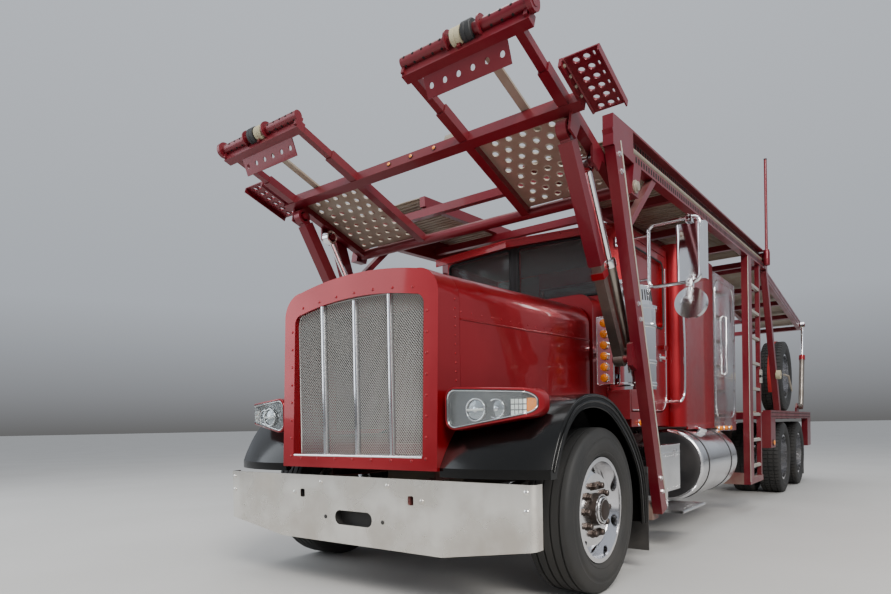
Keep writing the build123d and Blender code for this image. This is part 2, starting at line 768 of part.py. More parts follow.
def cab():
    """Cab shell with its cowl, door openings, windshield and rear openings."""
    body = plan_plate(cab_plan(0), CAB_FLOOR, CAB_ROOF)
    body = fillet(body.faces().sort_by(Axis.Z)[-1].edges(), 45)
    cowl = block(-COWL_HALF, COWL_HALF, COWL_Y, GLASS_EDGE_Y + 40, CAB_FLOOR, COWL_TOP)
    cowl = fillet(cowl.edges().filter_by(Axis.Y).group_by(Axis.Z)[-1], 110)
    body += cowl
    body -= plan_plate(cab_plan(CAB_WALL), CAB_FLOOR + CAB_WALL, CAB_ROOF - CAB_WALL)
    cowl_in = block(
        -COWL_HALF + CAB_WALL, COWL_HALF - CAB_WALL, COWL_Y + CAB_WALL, GLASS_EDGE_Y + 90,
        CAB_FLOOR + CAB_WALL, COWL_TOP - CAB_WALL,
    )
    body -= fillet(cowl_in.edges().filter_by(Axis.Y).group_by(Axis.Z)[-1], 70)
    for s in (-1, 1):
        opening = door_block(CAB_HALF - DOOR_T - 20, CAB_HALF + 10, DOOR_GAP)
        body -= opening if s > 0 else mirrored(opening)
        body -= windshield_pane(s, 0, 60)
    body -= block(-340, 340, CAB_REAR_Y - CAB_WALL - 5, CAB_REAR_Y + 5, 1500, 2300)
    save("cab", body + skirt(CAB_HALF, PILLAR_Y + 30, CAB_REAR_Y, CAB_FLOOR))


def skirt(half, y0, y1, top):
    """Skirts under both sides of a box, shorter over the tanks' straps."""
    straps_top = TANK_Z + TANK_R + TANK_STRAP
    skirts = block(half - SKIRT_T, half, y0, y1, top - SKIRT_DROP, top)
    over_y0 = TANK_Y0 - SKIRT_STRAP_GAP
    over_y1 = TANK_Y1 + SKIRT_STRAP_GAP
    skirts -= block(half - SKIRT_T - 1, half + 1, over_y0, over_y1, 0, straps_top - SKIRT_T)
    return both(skirts)


def door_block(x0, x1, gap):
    """The left door's side view with its curved lower corner, let out by gap."""
    slab = block(x0, x1, DOOR_Y0 - gap, DOOR_Y1 + gap, DOOR_Z0 - gap, DOOR_Z1 + gap)
    corner = slab.edges().filter_by(Axis.X).group_by(Axis.Z)[0].sort_by(Axis.Y)[-1]
    return fillet(corner, DOOR_CORNER_R + gap)


def windshield_pane(side, gap, depth):
    """One pane of the V windshield, as a slab that thick, set in by gap."""
    x0 = 38.0 + gap
    x1 = GLASS_EDGE_X - 30.0 - gap
    lean = (GLASS_EDGE_Y - GLASS_MID_Y) / GLASS_EDGE_X
    y0 = GLASS_MID_Y + lean * x0
    y1 = GLASS_MID_Y + lean * x1
    front = -10.0 if gap == 0 else 12.0
    back = depth if gap == 0 else front + GLASS_T
    outline = [(x0, y0 + front), (x1, y1 + front), (x1, y1 + back), (x0, y0 + back)]
    pane = plan_plate(outline, GLASS_Z0 + gap, GLASS_Z1 - gap)
    return pane if side > 0 else mirrored(pane)


def glazing():
    """Two windshield panes in their gaskets."""
    save("windshield", windshield_pane(1, 0.5, 0) + windshield_pane(-1, 0.5, 0))


def doors():
    """Cab doors as thick as the whole door, with a window each."""
    x0 = CAB_HALF - DOOR_T
    door = door_block(x0, CAB_HALF, 0)
    window = block(x0 - 5, CAB_HALF + 5, WINDOW_Y0, WINDOW_Y1, WINDOW_Z0, WINDOW_Z1)
    window = fillet(window.edges().filter_by(Axis.X), 60)
    handle = block(CAB_HALF, CAB_HALF + 30, 1960, 2070, 1590, 1625)
    glass = block(x0 + 24, x0 + 24 + GLASS_T, WINDOW_Y0, WINDOW_Y1, WINDOW_Z0, WINDOW_Z1)
    glass = fillet(glass.edges().filter_by(Axis.X), 60)
    save_pair("door", door - window + handle + glass)


def cab_inside():
    """Dashboard, two seats and the steering wheel, seen through the glass."""
    dash = side_plate(
        [(1190, 1450), (1190, 1850), (1260, 1850), (1390, 1770), (1390, 1560), (1300, 1450)],
        -735, 735,
    )
    save("dashboard", dash)
    seats = Part()
    for x in (-430, 430):
        base = block(x - 180, x + 180, 1560, 1900, CAB_FLOOR + CAB_WALL, 1330)
        cushion = block(x - 250, x + 250, 1500, 1960, 1330, 1460)
        back = block(x - 240, x + 240, 1940, 2050, 1460, 2060)
        cushion = fillet(cushion.edges().filter_by(Axis.X), 30)
        seats += base + cushion + fillet(back.edges().filter_by(Axis.X), 40)
    save("seats", seats)


def steering_wheel():
    """Rim, three spokes and column stub, turned about the column."""
    rim = Torus(STEER_R, 15)
    hub = Cylinder(45, 34)
    wheel = rim + hub
    for turn in (90, 210, 330):
        wheel += Rot(0, 0, turn) * Pos(STEER_R / 2, 0, 0) * Box(STEER_R, 26, 10)
    column = Pos(0, 0, -45) * Cylinder(22, 60)
    save("steering_wheel", Pos(*STEER_CENTRE) * Rot(STEER_TILT - 90, 0, 0) * (wheel + column))


def visor_strip(half, front, depth, z0, z1):
    """A V-shaped strip that follows the windshield, front ahead of it."""
    slope = (GLASS_EDGE_Y - GLASS_MID_Y) / GLASS_EDGE_X
    end_y = GLASS_MID_Y + slope * half - front
    mid_y = GLASS_MID_Y - front
    outline = [
        (-half, end_y + depth), (-half, end_y), (0, mid_y), (half, end_y),
        (half, end_y + depth), (0, mid_y + depth),
    ]
    return plan_plate(outline, z0, z1)


def visor():
    """Red sun visor, following the V of the windshield."""
    plate = visor_strip(800, 125, 120, 2440, 2452)
    lip = visor_strip(796, 122, 12, 2392, 2446)
    save("sun_visor", plate + lip)


def sleeper():
    """Red sleeper box with rounded front corners, and the steel cabinet."""
    box = block(-SLEEPER_HALF, SLEEPER_HALF, SLEEPER_Y0, SLEEPER_Y1, SLEEPER_Z0, SLEEPER_TOP)
    box = fillet(box.edges().filter_by(Axis.Z).group_by(Axis.Y)[0], 110)
    wall = CAB_WALL
    hollow = block(-SLEEPER_HALF + wall, SLEEPER_HALF - wall, SLEEPER_Y0 + wall, SLEEPER_Y1 - wall,
                   SLEEPER_Z0 + wall, SLEEPER_TOP - wall)
    box -= fillet(hollow.edges().filter_by(Axis.Z).group_by(Axis.Y)[0], 68)
    box -= block(-340, 340, SLEEPER_Y0 - 5, SLEEPER_Y0 + wall + 5, 1500, 2300)
    save("sleeper", box + skirt(SLEEPER_HALF, SLEEPER_Y0 + 120, SLEEPER_Y1, SLEEPER_Z0))
    cabinet = block(-SLEEPER_HALF, SLEEPER_HALF, SLEEPER_Y1 + 4, CABINET_Y1, SLEEPER_Z0, CABINET_TOP)
    inner = block(-SLEEPER_HALF + wall, SLEEPER_HALF - wall, SLEEPER_Y1 + 4 + wall,
                  CABINET_Y1 - wall, SLEEPER_Z0 + wall, CABINET_TOP - wall)
    save("steel_cabinet", cabinet - inner + skirt(SLEEPER_HALF, SLEEPER_Y1 + 4, CABINET_Y1, SLEEPER_Z0))


def air_cleaners():
    """Polished air cleaners on the cowl, each with a lamp plate in front."""
    body = Pos(CLEANER_X, CLEANER_Y, 1480) * Cylinder(CLEANER_R, 560)
    flange = Pos(CLEANER_X, CLEANER_Y, 1768) * Cylinder(CLEANER_R + 10, 20)
    cap = Pos(CLEANER_X, CLEANER_Y, 1848) * Cone(CLEANER_R - 18, CLEANER_R - 34, 140)
    elbow = cross_tube(CLEANER_Y + 20, 1500, 70, COWL_HALF, CLEANER_X)
    plate = block(828, 952, 742, 754, 1238, 1712)
    tabs = Part()
    for z in (1300, 1640):
        tabs += block(872, 908, 754, 860, z - 15, z + 15)
    save("air_cleaners", both(body + flange + cap + elbow + plate + tabs))


def mirror_pad(z):
    """A pad on the cab's slanted corner that carries one mirror arm."""
    slope = (PILLAR_Y - GLASS_EDGE_Y) / (CAB_HALF - GLASS_EDGE_X)
    near = (GLASS_EDGE_X + 50, GLASS_EDGE_Y + 50 * slope)
    far = (GLASS_EDGE_X + 90, GLASS_EDGE_Y + 90 * slope)
    outline = [near, far, (far[0] + 16, far[1] - 23), (near[0] + 16, near[1] - 23)]
    return plan_plate(outline, z - 35, z + 35)


def mirrors():
    """Mirrors in a bent tube loop on two arms, with a round mirror below."""
    y = MIRROR_Y
    loop = FilletPolyline(
        (MIRROR_IN_X, y, MIRROR_Z0), (MIRROR_OUT_X, y, MIRROR_Z0),
        (MIRROR_OUT_X, y, MIRROR_Z1), (MIRROR_IN_X, y, MIRROR_Z1),
        radius=MIRROR_BEND_R, close=True,
    )
    frame = sweep(Plane(origin=loop @ 0, z_dir=loop % 0) * Circle(MIRROR_TUBE_R), path=loop)
    arm_x = GLASS_EDGE_X + 84
    arm_y = GLASS_EDGE_Y + 38
    for z in (MIRROR_Z0 + 60, MIRROR_Z1 - 70):
        frame += round_bar((arm_x, arm_y, z), (MIRROR_IN_X, y, z), MIRROR_TUBE_R - 3)
        frame += mirror_pad(z)
    middle_x = (MIRROR_IN_X + 185 + MIRROR_OUT_X + 30) / 2
    for z in (MIRROR_Z0, MIRROR_Z1):
        frame += block(middle_x - 20, middle_x + 20, y - 18, y + 34, z - 30, z + 18)
    housing = block(
        MIRROR_IN_X + 185, MIRROR_OUT_X + 30, y + 15, y + 120, MIRROR_Z0 + 17, MIRROR_Z1 - 29,
    )
    housing = fillet(housing.edges().filter_by(Axis.Z), 30)
    stem = round_bar((middle_x, y, MIRROR_Z0), (middle_x, y, MIRROR_Z0 - 60), 9)
    convex = Pos(middle_x, y + 26, MIRROR_Z0 - 145) * Rot(90, 0, 0) * Cylinder(108, 60)
    save("mirrors", both(frame + housing + stem + convex))


def tanks():
    """Round fuel tanks in two straps each, and small air tanks, on the rails."""
    tank = round_bar((TANK_X, TANK_Y0, TANK_Z), (TANK_X, TANK_Y1, TANK_Z), TANK_R)
    tank = fillet(tank.edges().filter_by(GeomType.CIRCLE), 25)
    for y in (2280, 3080):
        tank += round_bar((TANK_X, y - 35, TANK_Z), (TANK_X, y + 35, TANK_Z), TANK_R + TANK_STRAP)
        tank += block(RAIL_OUT_X, TANK_X - 240, y - 35, y + 35, RAIL_Z0 + 20, RAIL_Z1 - 60)
    air = round_bar((600, 700, 860), (600, 990, 860), 105)
    air += block(RAIL_OUT_X, 520, 780, 900, 800, 900)
    save("fuel_and_air_tanks", both(tank + air))


def battery_boxes():
    """Battery boxes with ribbed treads below."""
    box = block(RAIL_OUT_X, 1120, 1010, 1640, 450, 800)
    box -= block(RAIL_OUT_X - 1, 560, 1009, 1641, 449, RAIL_Z0)
    box += block(940, 1215, 1380, 1980, 285, 305)
    box += block(1000, 1030, 1420, 1480, 305, 450)
    box += block(1000, 1030, 1560, 1620, 305, 450)
    save("battery_boxes", both(box))


def mudflaps():
    """Rubber flaps behind the front and the last rear wheels."""
    hang_z = 640.0
    front_y = FENDER_LINE[-1][0] + 64
    front = block(880, 1200, front_y, front_y + 10, 130, hang_z)
    front += block(RAIL_OUT_X, 1200, front_y - 12, front_y + 10, hang_z, hang_z + 40)
    rear_y = REAR_AXLES_Y[-1] + TYRE_R + 395
    rear = block(600, 1135, rear_y, rear_y + 10, 90, hang_z + 20)
    rear += block(RAIL_OUT_X, 1135, rear_y - 20, rear_y + 10, hang_z + 20, hang_z + 60)
    save("mudflaps", both(front) + both(rear))


def deck_point(distance, drop):
    """Side-view point of the main deck: along it from the front, and down."""
    turn = math.radians(DECK_SLOPE)
    y = DECK_FRONT[0] + distance * math.cos(turn) + drop * math.sin(turn)
    z = DECK_FRONT[1] + distance * math.sin(turn) - drop * math.cos(turn)
    return (y, z)


def deck_slab(start, end, drop0, drop1, x0, x1):
    """A straight piece of the deck between two distances and two drops."""
    corners = [
        deck_point(start, drop0), deck_point(end, drop0),
        deck_point(end, drop1), deck_point(start, drop1),
    ]
    return side_plate(corners, x0, x1)


def deck_under(y):
    """Height of the deck rail's underside at a Y."""
    turn = math.radians(DECK_SLOPE)
    base = deck_point(0, DECK_DEPTH)
    return base[1] + (y - base[0]) * math.tan(turn)


def main_deck():
    """Upper deck: channel rails, inner rails, cross tubes and two runways."""
    outer = deck_slab(0, DECK_LENGTH, 0, DECK_DEPTH, RACK_X0, RACK_X1)
    outer -= deck_slab(-1, DECK_LENGTH + 1, 14, DECK_DEPTH - 60, RACK_X0 + 12, RACK_X1 + 1)
    inner = deck_slab(0, DECK_LENGTH, 12, 90, INNER_X0, INNER_X1)
    frame = both(outer + inner)
    pitch = (DECK_LENGTH - 2 * DECK_BEAM_IN - BEAM_W) / (DECK_BEAMS - 1)
    for distance in [DECK_BEAM_IN + pitch * n for n in range(DECK_BEAMS)]:
        frame += deck_slab(distance, distance + BEAM_W, 100, 160, -RACK_X0, RACK_X0)
        for s in (-1, 1):
            x0 = min(s * INNER_X0, s * INNER_X1)
            frame += deck_slab(distance, distance + BEAM_W, 90, 100, x0, x0 + INNER_X1 - INNER_X0)
    save("deck_frame", frame)
    plate = deck_slab(0, DECK_LENGTH, 12, 18, INNER_X1, RACK_X0)
    low = block(INNER_X0, RACK_X0 - 20, LOWER_Y0, LOWER_Y1, LOWER_TOP - 20, LOWER_TOP - 14)
    save("deck_runways", both(plate) + both(low))


def front_legs():
    """Leaning legs that carry the deck's front, with the struts' pins."""
    leg = bar(LEG_TOP, LEG_FOOT, LEG_DEPTH, RACK_X0, RACK_X1)
    head = side_plate(
        [(110, 2590), (110, 2770), (DECK_FRONT[0], DECK_FRONT[1]), deck_point(0, DECK_DEPTH)],
        RACK_X0, RACK_X1,
    )
    brace = side_plate(
        [(300, 2140), (360, 2140), (880, deck_under(880)), (800, deck_under(800))],
        RACK_X0 + 8, RACK_X1 - 8,
    )
    arms = Part()
    for y, z in (LEG_PIN, LIFT_PIN):
        arms += cross_tube(y, z, PIN_R, STRUT_X - 44, RACK_X0)
    gusset = side_plate(
        [(478, 1335), (470, 1470), (640, 1540), (720, 1480), (690, 1380), (600, 1300)],
        RACK_X0 - 12, RACK_X0 + 20,
    )
    save("front_legs", both(leg + head + brace + arms + gusset + hinge_bracket()))


def hinge_bracket():
    """Plate from the deck's front end down to the head ramp's hinge tube."""
    y, z = HEAD_PIVOT
    plate = side_plate(
        [(y - 60, z - 55), (y + 60, z - 55), (y + 120, deck_under(y + 120)), (y - 10, deck_under(y - 10))],
        RACK_X0, RACK_X1,
    )
    pin = cross_tube(y, z, HINGE_PIN_R, HEAD_TUBE_HALF - 120, RACK_X0)
    return plate + pin


def rear_posts():
    """Upright posts and ladders that carry the deck's rear half."""
    post = side_plate(
        [(POST_Y0, OUTRIGGER_Z0), (POST_Y1, OUTRIGGER_Z0),
         (POST_Y1, deck_under(POST_Y1)), (POST_Y0, deck_under(POST_Y0))],
        RACK_X0, RACK_X1,
    )
    rail_y0 = LADDER_Y1 - 50
    rail = side_plate(
        [(rail_y0, OUTRIGGER_Z0 + 60), (LADDER_Y1, OUTRIGGER_Z0 + 60),
         (LADDER_Y1, deck_under(LADDER_Y1)), (rail_y0, deck_under(rail_y0))],
        RACK_X0 + 10, RACK_X1 - 10,
    )
    link = block(RACK_X0, RACK_X1, POST_Y1, LADDER_Y1, OUTRIGGER_Z0, OUTRIGGER_Z0 + 60)
    pole_y, pole_z = deck_point(DECK_LENGTH - POLE_FROM_END, 0)
    pole_x = RACK_X1 + POLE_SOCKET_R
    socket = Pos(pole_x, pole_y, pole_z - 90) * Cylinder(POLE_SOCKET_R, 180)
    pole = round_bar((pole_x, pole_y, pole_z), (pole_x, pole_y, POLE_TOP), POLE_R)
    save("rear_posts", both(post + rail + link) + socket + pole)
    rungs = Part()
    for n in range(RUNG_COUNT):
        z = RUNG_Z0 + RUNG_PITCH * n - RUNG_T / 2
        rungs += both(block(RACK_X0 + 20, RACK_X1 - 12, POST_Y1, rail_y0, z, z + RUNG_T))
    save("ladder_rungs", rungs)


def outriggers():
    """Cross beams on uprights under the rails, which carry legs and posts."""
    frame = Part()
    for y in (OUTRIGGER_Y, POST_Y0):
        frame += block(-RACK_X0, RACK_X0, y, y + OUTRIGGER_W, OUTRIGGER_Z0, OUTRIGGER_Z1)
        frame += both(block(RAIL_OUT_X - 70, RAIL_OUT_X, y, y + OUTRIGGER_W, OUTRIGGER_Z1, RAIL_Z0))
    return frame


def head_point(u, v):
    """Side-view point of the head ramp: u forward along it, v above it."""
    turn = math.radians(HEAD_SLOPE)
    y = HEAD_PIVOT[0] - u * math.cos(turn) + v * math.sin(turn)
    z = HEAD_PIVOT[1] + u * math.sin(turn) + v * math.cos(turn)
    return (y, z)


def head_slab(u0, u1, v0, v1, x0, x1):
    """A straight piece of the head ramp, in its own leaning frame."""
    corners = [head_point(u0, v0), head_point(u1, v0), head_point(u1, v1), head_point(u0, v1)]
    return side_plate(corners, x0, x1)


def sleeve(x, u0, u1):
    """One square sleeve of the ramp, solid outside; the bore is cut later."""
    half = SLEEVE / 2
    return head_slab(u0, u1, -half, half, x - half, x + half)


def sleeve_bore(x, u0, u1):
    """The bore of a sleeve."""
    half = SLEEVE / 2 - SLEEVE_WALL
    return head_slab(u0, u1, -half, half, x - half, x + half)


def head_hole(x, u, v, radius):
    """A short round cutter through a plate that lies along the head ramp."""
    return round_bar((x, *head_point(u, v - 15)), (x, *head_point(u, v + 15)), radius)


def plate_holes(x0, x1, u0, u1):
    """Staggered holes that fill a ramp plate between x0, x1 and u0, u1."""
    edge = 50.0
    rows = int((u1 - u0 - 2 * edge) // PLATE_PITCH_U)
    first_u = (u0 + u1 - rows * PLATE_PITCH_U) / 2
    holes = []
    for row in range(rows + 1):
        across = int((x1 - x0 - 2 * edge) // PLATE_PITCH_X) - row % 2
        first_x = (x0 + x1 - across * PLATE_PITCH_X) / 2
        u = first_u + row * PLATE_PITCH_U
        for n in range(across + 1):
            holes.append(head_hole(first_x + n * PLATE_PITCH_X, u, 19, PLATE_HOLE_R))
    return holes


def head_ramp():
    """Ramp over the hood: hinge tube, front bar, four sleeves and plates."""
    frame = cross_tube(*HEAD_PIVOT, HEAD_TUBE_R, -HEAD_TUBE_HALF, HEAD_TUBE_HALF)
    half_bar = HEAD_BAR / 2
    frame += head_slab(HEAD_LENGTH - half_bar, HEAD_LENGTH + half_bar, -half_bar, half_bar,
                       -HEAD_HALF, HEAD_HALF)
    leg_ear = [head_point(760, -20), head_point(745, -140), head_point(665, -140), head_point(640, -20)]
    lift_ear = [head_point(480, -20), head_point(445, -120), head_point(355, -120), head_point(330, -20)]
    side = side_plate(leg_ear, EAR_X0, EAR_X1)
    side += side_plate(lift_ear, EAR_X0, EAR_X1)
    for eye in (LEG_EYE, LIFT_EYE):
        side += cross_tube(*eye, PIN_R, STRUT_X - 44, EAR_X1)
    for x in (SLEEVE_IN_X, SLEEVE_OUT_X):
        side += sleeve(x, 0, SLEEVE_END_U)
    side += head_slab(HEAD_LENGTH - 35, FLAP_U1, -20, 30, HEAD_HALF - 18, HEAD_HALF)
    y0, z0 = head_point(FLAP_U0, FLAP_V)
    y1, z1 = head_point(FLAP_U1, FLAP_V)
    hinge_x = FLAP_X0 - 12
    side += round_bar((hinge_x, y0, z0), (hinge_x, y1, z1), 8)
    frame += both(side)
    for x in (SLEEVE_IN_X, SLEEVE_OUT_X):
        frame -= both(sleeve_bore(x, HEAD_TUBE_R + 20, SLEEVE_END_U + 1))
    for s in (-1, 1):
        low, high = sorted((s * (HEAD_TUBE_HALF - 125), s * (HEAD_TUBE_HALF + 1)))
        frame -= cross_tube(*HEAD_PIVOT, HINGE_PIN_R + FIT, low, high)
    plate_x0 = SLEEVE_IN_X + SLEEVE / 2
    plate_x1 = SLEEVE_OUT_X - SLEEVE / 2
    plate = head_slab(HEAD_TUBE_R + 10, HEAD_LENGTH - half_bar, 16, 22, plate_x0, plate_x1)
    plate -= plate_holes(plate_x0, plate_x1, HEAD_TUBE_R + 10, HEAD_LENGTH - half_bar)
    flap = head_slab(FLAP_U0, FLAP_U1, FLAP_V, FLAP_V + 8, FLAP_X0 - 12, FLAP_X1)
    flap += head_slab(FLAP_U0, FLAP_U1, FLAP_V - 30, FLAP_V, FLAP_X1 - 8, FLAP_X1)
    step = (FLAP_U1 - FLAP_U0 - 70) / 5
    for n in range(6):
        u = FLAP_U0 + 35 + step * n
        flap -= [head_hole(x, u, FLAP_V + 4, FLAP_HOLE_R) for x in (FLAP_X0 + 45, FLAP_X0 + 100)]
        flap -= head_slab(u - 13, u + 13, FLAP_V - 1, FLAP_V + 9, FLAP_X1 - 45, FLAP_X1 - 35)
    save("head_ramp", frame + both(plate) + both(flap))


def fly_ramp():
    """Sliding ramp end: two arms in the sleeves, a flat arm and a tip beam."""
    half = SLEEVE / 2 - SLEEVE_WALL - FLY_PLAY
    fly = head_slab(FLY_BEAM_U0, FLY_BEAM_U1, -35, 25, SLEEVE_IN_X - 36, 1205)
    for x in (SLEEVE_IN_X, SLEEVE_OUT_X):
        fly += head_slab(FLY_TAIL_U, FLY_BEAM_U0, -half, half, x - half, x + half)
    fly += head_slab(FLY_TAIL_U + 60, FLY_BEAM_U0 + 20, 42, 54, 850, 900)
    fly += head_slab(FLY_BEAM_U0, FLY_BEAM_U0 + 20, 25, 42, 850, 900)
    lip = [head_point(FLY_BEAM_U0 + 8, -30), head_point(FLY_BEAM_U0 - 67, -118),
           head_point(FLY_BEAM_U0 - 73, -113), head_point(FLY_BEAM_U0 + 2, -25)]
    lip_plate = side_plate(lip, 540, 1060)
    back = head_point(FLY_BEAM_U0 - 44, -64)
    ahead = head_point(FLY_BEAM_U0 - 21, -83)
    lip_plate -= [round_bar((580 + 88 * n, *back), (580 + 88 * n, *ahead), LIP_HOLE_R) for n in range(6)]
    fly += lip_plate
    y, z = head_point(FLY_BEAM_U1 + 12, 45)
    fly += cross_tube(y, z, FLY_TUBE_R, SLEEVE_IN_X - 36, 1235)
    for x in (SLEEVE_IN_X - 36, 800, 1180):
        fly += head_slab(FLY_BEAM_U1 - 30, FLY_BEAM_U1 + 14, -20, 50, x, x + 20)
    fly += cross_tube(y, z, 52, 1205, 1232)
    save_pair("fly_ramp", fly)


# The front end of the sliding ramps is the front of the truck
TIP_TUBE_Y = head_point(FLY_BEAM_U1 + 12, 45)[0]
FRONT_TIP = TIP_TUBE_Y - 52
SHIFT_Y = -(FRONT_TIP + REAR_TIP) / 2


def strut_outer(pin, eye, start, end, radius):
    """A round strut piece along the line from pin to eye."""
    a = along(pin, eye, start)
    b = along(pin, eye, end)
    return round_bar((STRUT_X, a[0], a[1]), (STRUT_X, b[0], b[1]), radius)


def eye_ring(at, outer_r, hole_r, half_width, x):
    """A ring round a pin."""
    ring = cross_tube(at[0], at[1], outer_r, x - half_width, x + half_width)
    return ring - cross_tube(at[0], at[1], hole_r, x - half_width - 1, x + half_width + 1)


def struts():
    """Telescopic legs and lift cylinders of the head ramp."""
    length = math.dist(LEG_PIN, LEG_EYE)
    inner_half = 30.0
    outer_half = 41.0
    wall = 9.0
    low = bar(along(LEG_PIN, LEG_EYE, 30), along(LEG_PIN, LEG_EYE, 900), inner_half * 2,
              STRUT_X - inner_half, STRUT_X + inner_half)
    low += eye_ring(LEG_PIN, EYE_R, PIN_R + FIT, 30, STRUT_X)
    low -= cross_tube(*LEG_PIN, PIN_R + FIT, STRUT_X - 60, STRUT_X + 60)
    save("leg_inner_tubes", both(low))
    start = 640.0
    high = bar(along(LEG_PIN, LEG_EYE, start), along(LEG_PIN, LEG_EYE, length - 60), outer_half * 2,
               STRUT_X - outer_half, STRUT_X + outer_half)
    high -= bar(along(LEG_PIN, LEG_EYE, start - 1), along(LEG_PIN, LEG_EYE, length - 110),
                (outer_half - wall) * 2, STRUT_X - outer_half + wall, STRUT_X + outer_half - wall)
    high += bar(along(LEG_PIN, LEG_EYE, length - 62), along(LEG_PIN, LEG_EYE, length - 36), 60,
                STRUT_X - 30, STRUT_X + 30)
    high += eye_ring(LEG_EYE, EYE_R + 8, PIN_R + EYE_SLACK, 30, STRUT_X)
    high -= cross_tube(*LEG_EYE, PIN_R + EYE_SLACK, STRUT_X - 60, STRUT_X + 60)
    save("leg_outer_tubes", both(high))
    cylinder("head_lift", LIFT_PIN, LIFT_EYE, 620.0, 95.0, STRUT_X, 38.0, 24.0)


def cylinder(name, pin, eye, barrel_length, rod_at, x, barrel_r, rod_r):
    """A hydraulic cylinder: barrel with a pinned eye, rod with an open eye."""
    length = math.dist(pin, eye)
    bottom = along(pin, eye, 34)
    neck = along(pin, eye, barrel_length)
    inside = along(pin, eye, 70)
    past = along(pin, eye, barrel_length + 1)
    barrel = round_bar((x, *bottom), (x, *neck), barrel_r)
    barrel += eye_ring(pin, EYE_R, PIN_R + FIT, 28, x)
    barrel -= cross_tube(*pin, PIN_R + FIT, x - 60, x + 60)
    barrel -= round_bar((x, *inside), (x, *past), rod_r + 1)
    save(f"{name}_barrels", both(barrel))
    rod_start = along(pin, eye, rod_at)
    rod_end = along(pin, eye, length - 34)
    rod = round_bar((x, *rod_start), (x, *rod_end), rod_r)
    rod += eye_ring(eye, EYE_R + 6, PIN_R + EYE_SLACK, 28, x)
    rod -= cross_tube(*eye, PIN_R + EYE_SLACK, x - 60, x + 60)
    save(f"{name}_rods", both(rod))


# The rear ramp's hinge behind the deck, which its own frame starts from
REAR_PIVOT = deck_point(DECK_LENGTH + REAR_PIVOT_BACK, REAR_PIVOT_DROP)


def rear_point(u, v):
    """Side-view point of the rear ramp: u rearward along it, v above it."""
    turn = math.radians(REAR_SLOPE)
    y = REAR_PIVOT[0] + u * math.cos(turn) - v * math.sin(turn)
    z = REAR_PIVOT[1] + u * math.sin(turn) + v * math.cos(turn)
    return (y, z)


def rear_slab(u0, u1, v0, v1, x0, x1):
    """A straight piece of the rear ramp, in its own frame."""
    corners = [rear_point(u0, v0), rear_point(u1, v0), rear_point(u1, v1), rear_point(u0, v1)]
    return side_plate(corners, x0, x1)


def rear_lift_eye():
    """Where the lift cylinder's rod meets the rear ramp's side."""
    return rear_point(REAR_LENGTH - REAR_EYE_IN, -REAR_EYE_DROP)


def rear_ramp():
    """Tilting rear upper ramp with two runways, hinged behind the deck."""
    half = REAR_RAIL_HALF
    frame = cross_tube(*REAR_PIVOT, 40, -RACK_X0 + 4, RACK_X0 - 4)
    frame += both(rear_slab(0, REAR_LENGTH, -half, half, RACK_X0 - 60, RACK_X0 - 4))
    frame += both(rear_slab(0, REAR_LENGTH, -40, 40, INNER_X0, INNER_X1))
    pitch = (REAR_LENGTH - REAR_BEAM_IN) / REAR_BEAMS
    for n in range(1, REAR_BEAMS + 1):
        u = pitch * n
        frame += rear_slab(u - BEAM_W / 2, u + BEAM_W / 2, -half, 0, -RACK_X0 + 10, RACK_X0 - 10)
    eye = rear_lift_eye()
    boss = cross_tube(*eye, EYE_R, RACK_X0 - 60, RACK_X0)
    pin = cross_tube(*eye, PIN_R, RACK_X0 - 60, REAR_LIFT_X + 32)
    frame += both(boss + pin)
    for s in (-1, 1):
        low, high = sorted((s * (RACK_X0 - 130), s * RACK_X0))
        frame -= cross_tube(*REAR_PIVOT, HINGE_PIN_R + FIT, low, high)
    plate = rear_slab(60, REAR_LENGTH, 40, 46, INNER_X0, RACK_X0 - 50)
    save("rear_ramp", frame + both(plate))


def rear_braces():
    """Hinge plates and leaning braces between the two decks at the rear."""
    bracket = side_plate(
        [(REAR_PIVOT[0] - 60, REAR_PIVOT[1] - 60), (REAR_PIVOT[0] + 50, REAR_PIVOT[1] - 60),
         (REAR_PIVOT[0] + 50, REAR_PIVOT[1] + 60), (REAR_PIVOT[0] - 60, REAR_PIVOT[1] + 60)],
        RACK_X0, RACK_X1,
    )
    joint = side_plate(
        [deck_point(DECK_LENGTH, 20), deck_point(DECK_LENGTH, 160),
         (REAR_PIVOT[0] - 60, REAR_PIVOT[1] - 60), (REAR_PIVOT[0] - 60, REAR_PIVOT[1] + 60)],
        RACK_X0, RACK_X1,
    )
    pivot_pin = cross_tube(*REAR_PIVOT, HINGE_PIN_R, RACK_X0 - 120, RACK_X0)
    brace_top = (REAR_PIVOT[0] + 10, REAR_PIVOT[1] - 55)
    brace = bar(brace_top, (5560, LOWER_TOP - 10), 90, RACK_X0, RACK_X1)
    return both(bracket + joint + pivot_pin + brace)


